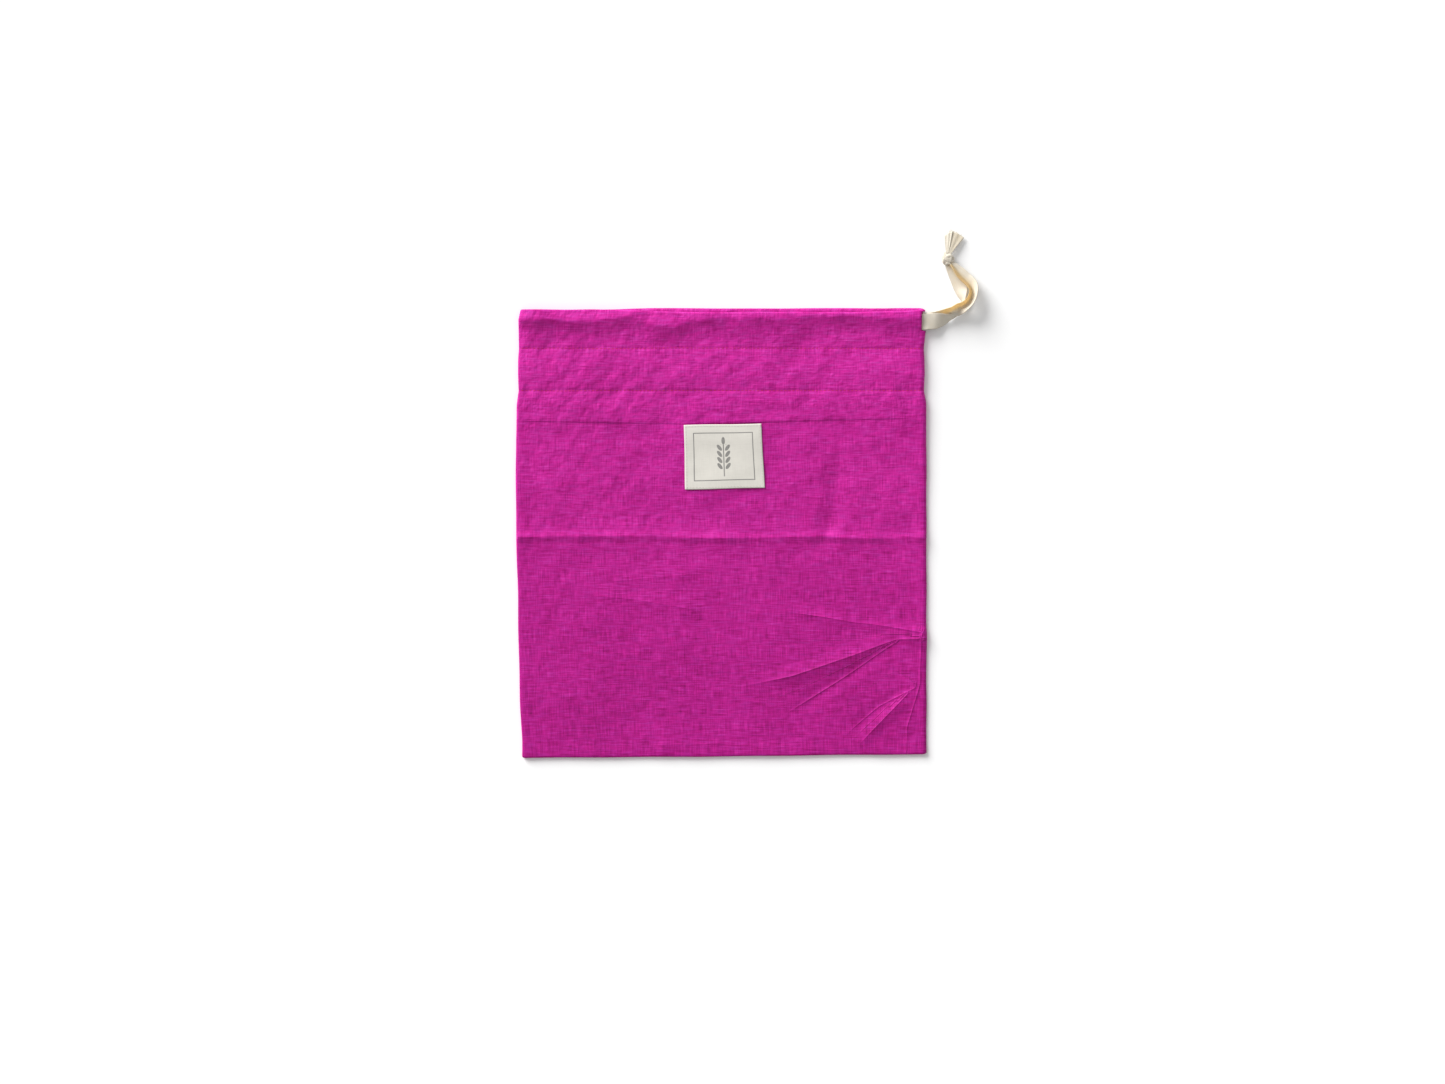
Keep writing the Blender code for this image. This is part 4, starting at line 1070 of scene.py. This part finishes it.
def frays(name, grid_end, outward, count, seed):
    """Thin threads that leave the cut end of a tail: a line of quadratic bend in a shrinking circle."""
    rng = np.random.default_rng(seed)
    place = np.sort(rng.uniform(0.02, 0.98, count)) * (len(grid_end) - 1)
    i = place.astype(int)
    s = (place - i)[:, None]
    start = grid_end[i] * (1 - s) + grid_end[i + 1] * s
    length = rng.uniform(FRAY_SHORTEST, FRAY_LONGEST, count)[:, None, None]
    direction = outward[None] + rng.normal(0.0, 0.28, (count, 3)) * (1, 1, 0.5)
    bend = rng.normal(0.0, 0.45, (count, 3)) * (1, 1, 0.4)
    t = np.linspace(-0.25, 1.0, FRAY_ALONG)[None, :, None]
    line = start[:, None] + direction[:, None] * t * length + bend[:, None] * t ** 2 * length
    line[..., 2] = np.maximum(line[..., 2], FRAY_LOWEST)
    a = np.linspace(0.0, 2 * math.pi, FRAY_ROUND, endpoint=False)
    ringed = np.stack([np.cos(a), 0 * a, np.sin(a)], axis=-1)
    radius = (FRAY_RADIUS * (1.05 - np.clip(t, 0, 1)))[..., None]
    points = line[:, :, None] + ringed[None, None] * radius
    sides, lids = tube_faces(count, FRAY_ALONG, FRAY_ROUND)
    flat = np.zeros((sides.size + FRAY_ROUND * len(lids), 2))
    marks = tape_marks(np.zeros(points.size // 3), np.ones(points.size // 3))
    face_outwards(make_piece(name, points, sides.tolist() + lids, flat, marks))


right_fan, left_fan = tail_grid(RIGHT_TAIL, TAIL_SAMPLES), tail_grid(LEFT_TAIL, TAIL_SAMPLES)
frays("frays_right", right_fan[-1], np.array([0.35, 0.9, -0.1]), 30, 51)
frays("frays_left", left_fan[-1], np.array([-0.15, 1.0, -0.1]), 20, 53)
print("frays at both cut ends")

# %% [markdown]
# ## Shader maths in Python
#
# A material's pattern is arithmetic on numbers that vary over a surface. `Number` wraps the socket that
# carries such a number, so that `1 - mask * 0.2` adds the Math nodes itself. `Finish` owns a material
# and makes every other kind of node from its type, its settings and its inputs.

# %% Shader helpers
class Number:
    """A number that varies over a surface. Arithmetic with it adds Math nodes to its material."""

    def __init__(self, finish, socket):
        self.finish, self.socket = finish, socket

    def maths(self, operation, *values):
        return self.finish.number("ShaderNodeMath", {"operation": operation}, dict(enumerate(values)))

    def __add__(self, other): return self.maths("ADD", self, other)
    def __sub__(self, other): return self.maths("SUBTRACT", self, other)
    def __rsub__(self, other): return self.maths("SUBTRACT", other, self)
    def __mul__(self, other): return self.maths("MULTIPLY", self, other)
    def __truediv__(self, other): return self.maths("DIVIDE", self, other)
    def __pow__(self, other): return self.maths("POWER", self, other)
    __radd__, __rmul__ = __add__, __mul__

    def sine(self): return self.maths("SINE", self)
    def size(self): return self.maths("ABSOLUTE", self)
    def exponential(self): return self.maths("EXPONENT", self)
    def fraction(self): return self.maths("FRACT", self)
    def at_most(self, other): return self.maths("MINIMUM", self, other)
    def at_least(self, other): return self.maths("MAXIMUM", self, other)

    def step(self, start, end):
        """0 at start, 1 at end, eased between; start may be the larger."""
        settings = {"interpolation_type": "SMOOTHSTEP"}
        low_end, high_end, first, last = (start, end, 0.0, 1.0) if start < end else (end, start, 1.0, 0.0)
        values = {"Value": self, "From Min": low_end, "From Max": high_end, "To Min": first, "To Max": last}
        return self.finish.number("ShaderNodeMapRange", settings, values)


class Finish:
    """A material with a Principled BSDF, and the means to add nodes to it."""

    def __init__(self, name, roughness, gloss=0.25, sheen=0.0, sheen_tint=(1, 1, 1, 1)):
        self.material = bpy.data.materials.new(name)
        self.material.use_nodes = True
        self.tree = self.material.node_tree
        self.shader = self.tree.nodes["Principled BSDF"]
        self.shader.inputs["Roughness"].default_value = roughness
        self.shader.inputs["Specular IOR Level"].default_value = gloss
        self.shader.inputs["Sheen Weight"].default_value = sheen
        self.shader.inputs["Sheen Tint"].default_value = sheen_tint

    def node(self, kind, settings=None, values=None):
        """A node of that kind: settings first, then each input's value or link."""
        node = self.tree.nodes.new(kind)
        for name, value in (settings or {}).items():
            setattr(node, name, value)
        for name, value in (values or {}).items():
            self.feed(node.inputs[name], value)
        return node

    def feed(self, socket, value):
        """Links a socket or sets its value; one number fills a whole vector."""
        if isinstance(value, Number):
            value = value.socket
        if isinstance(value, bpy.types.NodeSocket):
            self.tree.links.new(value, socket)
        elif hasattr(socket.default_value, "__len__") and not hasattr(value, "__len__"):
            socket.default_value = [value] * len(socket.default_value)
        else:
            socket.default_value = value

    def number(self, kind, settings=None, values=None, output=0):
        return Number(self, self.node(kind, settings, values).outputs[output])

    def blend(self, factor, first, second, blend_type="MIX"):
        """A colour from two colours. The sockets are numbered, as the Mix node names several the same."""
        settings = {"data_type": "RGBA", "blend_type": blend_type}
        return self.node("ShaderNodeMix", settings, {0: factor, 6: first, 7: second}).outputs[2]

    def tint(self, colour, amount, powers=None):
        """A colour made lighter or darker: multiplied by amount, a number near 1. With powers, each channel
        is multiplied by its own power of it, so that a colour also grows paler as it grows lighter, which
        paints a sheen on it."""
        parts = [amount ** power for power in powers] if powers else [amount] * 3
        grey = self.node("ShaderNodeCombineColor", None, dict(zip(("Red", "Green", "Blue"), parts)))
        return self.blend(1.0, colour, grey.outputs[0], "MULTIPLY")

    def cloth(self):
        """The flat cloth coordinates in millimetres, as two numbers."""
        flat = self.node("ShaderNodeUVMap", {"uv_map": "cloth"}).outputs[0]
        parts = self.node("ShaderNodeSeparateXYZ", None, {"Vector": flat})
        return Number(self, parts.outputs[0]) * WEAVE_UNIT, Number(self, parts.outputs[1]) * WEAVE_UNIT

    def place(self, x, y, z=0.0):
        """A point from three numbers."""
        return self.node("ShaderNodeCombineXYZ", None, {"X": x, "Y": y, "Z": z}).outputs[0]

    def noise(self, point, scale=1.0, detail=2.0, roughness=0.5):
        """Noise from 0 to 1 round 0.5 at a point."""
        values = {"Vector": point, "Scale": scale, "Detail": detail, "Roughness": roughness}
        return self.number("ShaderNodeTexNoise", None, values)

    def weave(self, x, y, pitch):
        """Plain weave: the product of a sine across the threads and one along them, from -1 to 1."""
        return (x * (math.pi / pitch)).sine() * (y * (math.pi / pitch)).sine()

    def mark(self, name):
        """A number that the mesh itself carries."""
        return self.number("ShaderNodeAttribute", {"attribute_name": name}, None, "Fac")

    def surface(self, colour, height=None, depth=0.0, strength=1.0):
        """Ends the material: its colour, and a bump that is depth millimetres high."""
        self.feed(self.shader.inputs["Base Color"], colour)
        if height is not None:
            values = {"Height": height, "Distance": depth * MM, "Strength": strength}
            bump = self.node("ShaderNodeBump", None, values)
            self.tree.links.new(bump.outputs[0], self.shader.inputs["Normal"])
        return self.material


# %% [markdown]
# ## The linen
#
# Linen is a plain weave of uneven yarn: one thread over, one under, with slubs where the yarn is thick.
# Its look comes from three things at three sizes. The weave itself is the product of two sines. Each
# thread has its own shade, which is a noise stretched a long way along the thread. The dye took
# unevenly, which is a soft noise over fingertips of cloth. One set of threads looks a little purple.
# Light is painted in as well: the front grows lighter towards the mouth and darker towards the bottom,
# and the lighter parts are painted paler, as a sheen would make them.

# %% Linen material
THREAD_PITCH = 0.65
LOWER_EDGE = 2.0             # where the front starts in the cloth's own coordinates
MAGENTA = (0.490, 0.0086, 0.244, 1)
PURPLE = (0.285, 0.0150, 0.238, 1)
# painted sheen: lighter threads and patches turn paler, as a sheen on the linen would make them
PAINTED_SHEEN_PALING = (1.0, 3.2, 1.1)     # green follows the thread's lightness faster than red and blue
WARP_CONTRAST, WEFT_CONTRAST = 1.05, 1.35
LINEN_SHEEN = (1.0, 0.25, 0.7, 1)
FRONT_LENGTH = 330.0


def linen():
    """Base colour times weave, threads, dye and a painted light that falls off towards the bottom, with a
    painted sheen; the bump is the weave, dents, drag lines and fine creases.
    """
    finish = Finish("magenta_linen", 0.65, 0.16, 0.015, LINEN_SHEEN)
    x, y = finish.cloth()
    weave = finish.weave(x, y, THREAD_PITCH)
    upright = finish.noise(finish.place(x / THREAD_PITCH, y / 14.0), 1.0, 3.0) - 0.5
    crosswise = finish.noise(finish.place(x / 14.0, y / THREAD_PITCH), 1.0, 3.0) - 0.5
    slubs = finish.noise(finish.place(x / 9.0, y / 1.5, 7.0), 1.0, 2.0) - 0.5
    dye = finish.noise(finish.place(x, y), 1 / 5.0, 4.0, 0.65) - 0.5
    broad = finish.noise(finish.place(x, y, 40.0), 1 / 45.0, 1.0) - 0.5
    # painted light: the front is painted lighter towards the mouth and darker towards the bottom, as the
    # light falls off
    painted_light_towards_mouth = (y - LOWER_EDGE).step(0.0, FRONT_LENGTH) - 0.5
    purple = (weave * 0.25 + 0.42 + crosswise * 1.6 + slubs * 2.0).step(0.1, 1.1)
    shade = 0.98 + upright * WARP_CONTRAST + crosswise * WEFT_CONTRAST + slubs * 0.5 + dye * 0.6
    shade = shade + broad * 0.22 + weave * 0.08 + painted_light_towards_mouth * 0.25
    colour = finish.tint(finish.blend(purple * 0.55, MAGENTA, PURPLE), shade, PAINTED_SHEEN_PALING)
    along, across = aslant(x, y)
    drag = finish.noise(finish.place(along / 16.0, across / 4.6), 1.0, 1.0) - 0.5
    dents = finish.noise(finish.place(x / 7.5, y / 6.0, 3.0), 1.0, 3.0, 0.55) - 0.5
    fine = (finish.mark("fine_at").size() * (-1.0 / FINE_REACH)).exponential() * finish.mark("fine_rise")
    yarn = (weave * 0.5 + upright * 1.0 + crosswise * 1.3) * 0.10
    rumpled = (drag * finish.mark("pull") * 0.30 + dents * 0.75) * finish.mark("rough")
    return finish.surface(colour, yarn + rumpled + fine, 1.0, 0.9)


bag.data.materials.append(linen())
print("linen threads every", THREAD_PITCH, "mm")

# %% [markdown]
# ## Cotton for the label and the tape
#
# The label is a finer plain weave in undyed cotton, printed in grey. The print here is a plain ear of
# grain with a thin rule round it, drawn as distances: a grain is an ellipse, and folding the coordinate
# with a fraction repeats it up the stem. The tape is a twill, whose diagonal ridges are a sine of the
# sum of both directions. Light that comes through the thin tape turns warm where it is folded on
# itself, and there that warm light is also painted into the tape's colour.

# %% Cotton materials
LABEL_CREAM = (0.66, 0.635, 0.58, 1)
PRINT_GREY = (0.19, 0.185, 0.18, 1)
GRAIN_PITCH, GRAIN_LEAN = 4.6, 0.62
GRAIN_ASIDE, GRAIN_HALF_WIDTH, GRAIN_HALF_LENGTH = 3.0, 1.25, 2.8
TOP_GRAIN_Y, TOP_GRAIN_HALF_WIDTH = 11.8, 1.3
EAR_LOW, EAR_HIGH, STALK_LOW = 9.5, 8.9, 15.0    # below, above and below the label's middle
RULE_X, RULE_Y = 22.0, 17.6
LABEL_PITCH = 0.42
CRIMSON, CREAM = (0.52, 0.012, 0.075, 1), (0.58, 0.55, 0.49, 1)
TAPE_GLOW = 0.42             # share of light that the inner half of a folded tape lets through as well
TAPE_CREAM = (0.72, 0.665, 0.565, 1)
# warm colour of soil, and of the painted glow: light through the tape, painted into its colour
TAPE_SOIL_AND_PAINTED_GLOW = (0.74, 0.59, 0.34, 1)
TAPE_THIN = 0.12             # share of the light that comes through a single layer of tape


def label_print(x, y):
    """1 on the print: a stem, four pairs of grains and a top grain, and a thin rule round them."""
    aside, up = (x - LABEL_WIDTH / 2).size(), y - LABEL_DEPTH / 2
    below_top = (up - EAR_HIGH).step(0.3, 0.0)
    on_stem = (up + EAR_LOW).step(0.0, 0.3) * below_top
    grain_row = ((up + EAR_LOW) / GRAIN_PITCH).fraction() - 0.5
    cosine, sine = math.cos(GRAIN_LEAN), math.sin(GRAIN_LEAN)
    across_grain = (aside - GRAIN_ASIDE) * cosine - grain_row * (GRAIN_PITCH * sine)
    up_grain = (aside - GRAIN_ASIDE) * sine + grain_row * (GRAIN_PITCH * cosine)
    grain = (across_grain / GRAIN_HALF_WIDTH) ** 2 + (up_grain / GRAIN_HALF_LENGTH) ** 2
    grain = grain.step(1.15, 0.85)
    top = (aside / TOP_GRAIN_HALF_WIDTH) ** 2 + ((up - TOP_GRAIN_Y) / GRAIN_HALF_LENGTH) ** 2
    top = top.step(1.15, 0.85)
    stem = aside.step(0.5, 0.3) * (up + STALK_LOW).step(0.0, 0.3) * below_top
    edge = (aside - RULE_X).at_least(up.size() - RULE_Y)
    rule = edge.size().step(0.5, 0.25)
    return (grain * on_stem).at_least(top).at_least(stem).at_least(rule)


def label_cotton():
    """Fine plain weave with the print on it; the ink is thinner where a thread stands low."""
    finish = Finish("cream_cotton_label", 0.9, 0.1, 0.05)
    x, y = finish.cloth()
    weave = finish.weave(x, y, LABEL_PITCH)
    upright = finish.noise(finish.place(x / LABEL_PITCH, y / 9.0))
    crosswise = finish.noise(finish.place(x / 9.0, y / LABEL_PITCH))
    threads = upright + crosswise - 1.0
    soil = finish.noise(finish.place(x, y), 1 / 8.0, 2.0) - 0.5
    shade = 1.0 + threads * 0.16 + soil * 0.08 + weave * 0.03
    ink = label_print(x, y) * (0.86 + threads * 0.5)
    colour = finish.tint(finish.blend(ink, LABEL_CREAM, PRINT_GREY), shade)
    return finish.surface(colour, weave * 0.5 + threads, 0.06, 0.7)


def tape_cotton():
    """Cream twill; where the tape stands against the light it is thin enough to glow a warm orange, and that
    glow is painted into its colour as well as let through.
    """
    finish = Finish("cream_cotton_tape", 0.88, 0.1, 0.05)
    x, y = finish.cloth()
    twill = ((x + y) * (2 * math.pi / 1.1)).sine()
    threads = finish.noise(finish.place(x / 0.4, y / 8.0)) - 0.5
    soil = finish.noise(finish.place(x, y), 1 / 7.0, 2.0).step(0.45, 0.9)
    selvedge = finish.mark("edge").step(0.8, 0.97)
    glow = finish.mark("glow")
    # painted light: the glow mark paints the warm light that comes through the folded tape into its colour;
    # the soil is real dirt
    colour = finish.blend((soil * 0.3 + glow).at_most(1.0), TAPE_CREAM, TAPE_SOIL_AND_PAINTED_GLOW)
    shade = 1.0 + threads * 0.14 + twill * 0.02 - selvedge * 0.05
    material = finish.surface(finish.tint(colour, shade), twill * 0.5 + threads * 0.8, 0.10, 0.6)
    through = finish.node("ShaderNodeBsdfTranslucent", None, {"Color": finish.tint(colour, 1.15)})
    both = finish.node("ShaderNodeMixShader", None, {"Fac": glow * TAPE_GLOW + TAPE_THIN})
    finish.tree.links.new(finish.shader.outputs[0], both.inputs[1])
    finish.tree.links.new(through.outputs[0], both.inputs[2])
    finish.tree.links.new(both.outputs[0], finish.tree.nodes["Material Output"].inputs["Surface"])
    return material


def sewing_thread(name, colour):
    """Twisted thread: stripes that run aslant round it."""
    finish = Finish(name, 0.55, 0.25, 0.05)
    x, y = finish.cloth()
    twist = (x * 2.0 + y * (2 * math.pi / STITCH_ROUND)).sine()
    return finish.surface(finish.tint(colour, 1.0 + twist * 0.12), twist, 0.03, 0.6)


cotton_tape = tape_cotton()
crimson = sewing_thread("crimson_thread", CRIMSON)
cream_thread = sewing_thread("cream_thread", CREAM)
label.data.materials.append(label_cotton())
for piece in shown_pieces():
    if piece.name.startswith("stitches"):
        piece.data.materials.append(crimson)
    elif piece.name.startswith("label_sewing"):
        piece.data.materials.append(cream_thread)
    elif piece.name.startswith(("tape", "knot", "frays")):
        piece.data.materials.append(cotton_tape)
print("materials:", sorted(m.name for m in bpy.data.materials if m.users))

# %% [markdown]
# ## Table and light
#
# The photograph was taken on white, lit by one large soft light from the upper left and by the pale
# room. The table is bright enough to come out pure white, and the bag throws a short soft shadow to the
# right and below. A sun lamp of wide angle stands for the large light, because it lights the whole
# table evenly. It stands low, so that small folds show.

# %% Table and light
TABLE_SIZE = 6000.0
TABLE_WHITE = (0.95, 0.95, 0.95, 1)
LIGHT_FROM = Vector((-0.66, 0.75, 0.0)).normalized()
LIGHT_ELEVATION, LIGHT_ANGLE = 20.0, 42.0
LIGHT_STRENGTH, ROOM_STRENGTH = 5.6, 0.52

half = TABLE_SIZE / 2 * MM
table_corners = [(-half, -half, 0.0), (half, -half, 0.0), (half, half, 0.0), (-half, half, 0.0)]
floor_mesh = bpy.data.meshes.new("floor")
floor_mesh.from_pydata(table_corners, [], [(0, 1, 2, 3)])
floor = bpy.data.objects.new("floor", floor_mesh)
bpy.context.scene.collection.objects.link(floor)
white = Finish("white_table", 0.95)
white.shader.inputs["Specular IOR Level"].default_value = 0.0
floor_mesh.materials.append(white.surface(TABLE_WHITE))
floor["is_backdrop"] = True

rise = math.radians(LIGHT_ELEVATION)
towards_light = LIGHT_FROM * math.cos(rise) + Vector((0, 0, 1)) * math.sin(rise)
lamp_data = bpy.data.lights.new("soft_light", "SUN")
lamp_data.energy, lamp_data.angle = LIGHT_STRENGTH, math.radians(LIGHT_ANGLE)
lamp = bpy.data.objects.new("soft_light", lamp_data)
lamp.rotation_mode = "QUATERNION"
lamp.rotation_quaternion = towards_light.to_track_quat("Z", "Y")
bpy.context.scene.collection.objects.link(lamp)

room = bpy.data.worlds.new("room")
bpy.context.scene.world = room
room.use_nodes = True
background = room.node_tree.nodes["Background"]
background.inputs["Color"].default_value = (1.0, 1.0, 1.0, 1)
background.inputs["Strength"].default_value = ROOM_STRENGTH
bpy.context.scene.view_settings.view_transform = "Standard"
print("light from", [round(c, 2) for c in towards_light])

# %% [markdown]
# ## Sizes
#
# The dressed bag has to keep the size of the solids.

# %% Finish
sizes = {"cad": [list(corner) for corner in cad_box],
         "visual": [list(corner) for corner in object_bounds()]}
print("dressed, mm:", [round((b - a) / MM, 1) for a, b in zip(*sizes["visual"])])
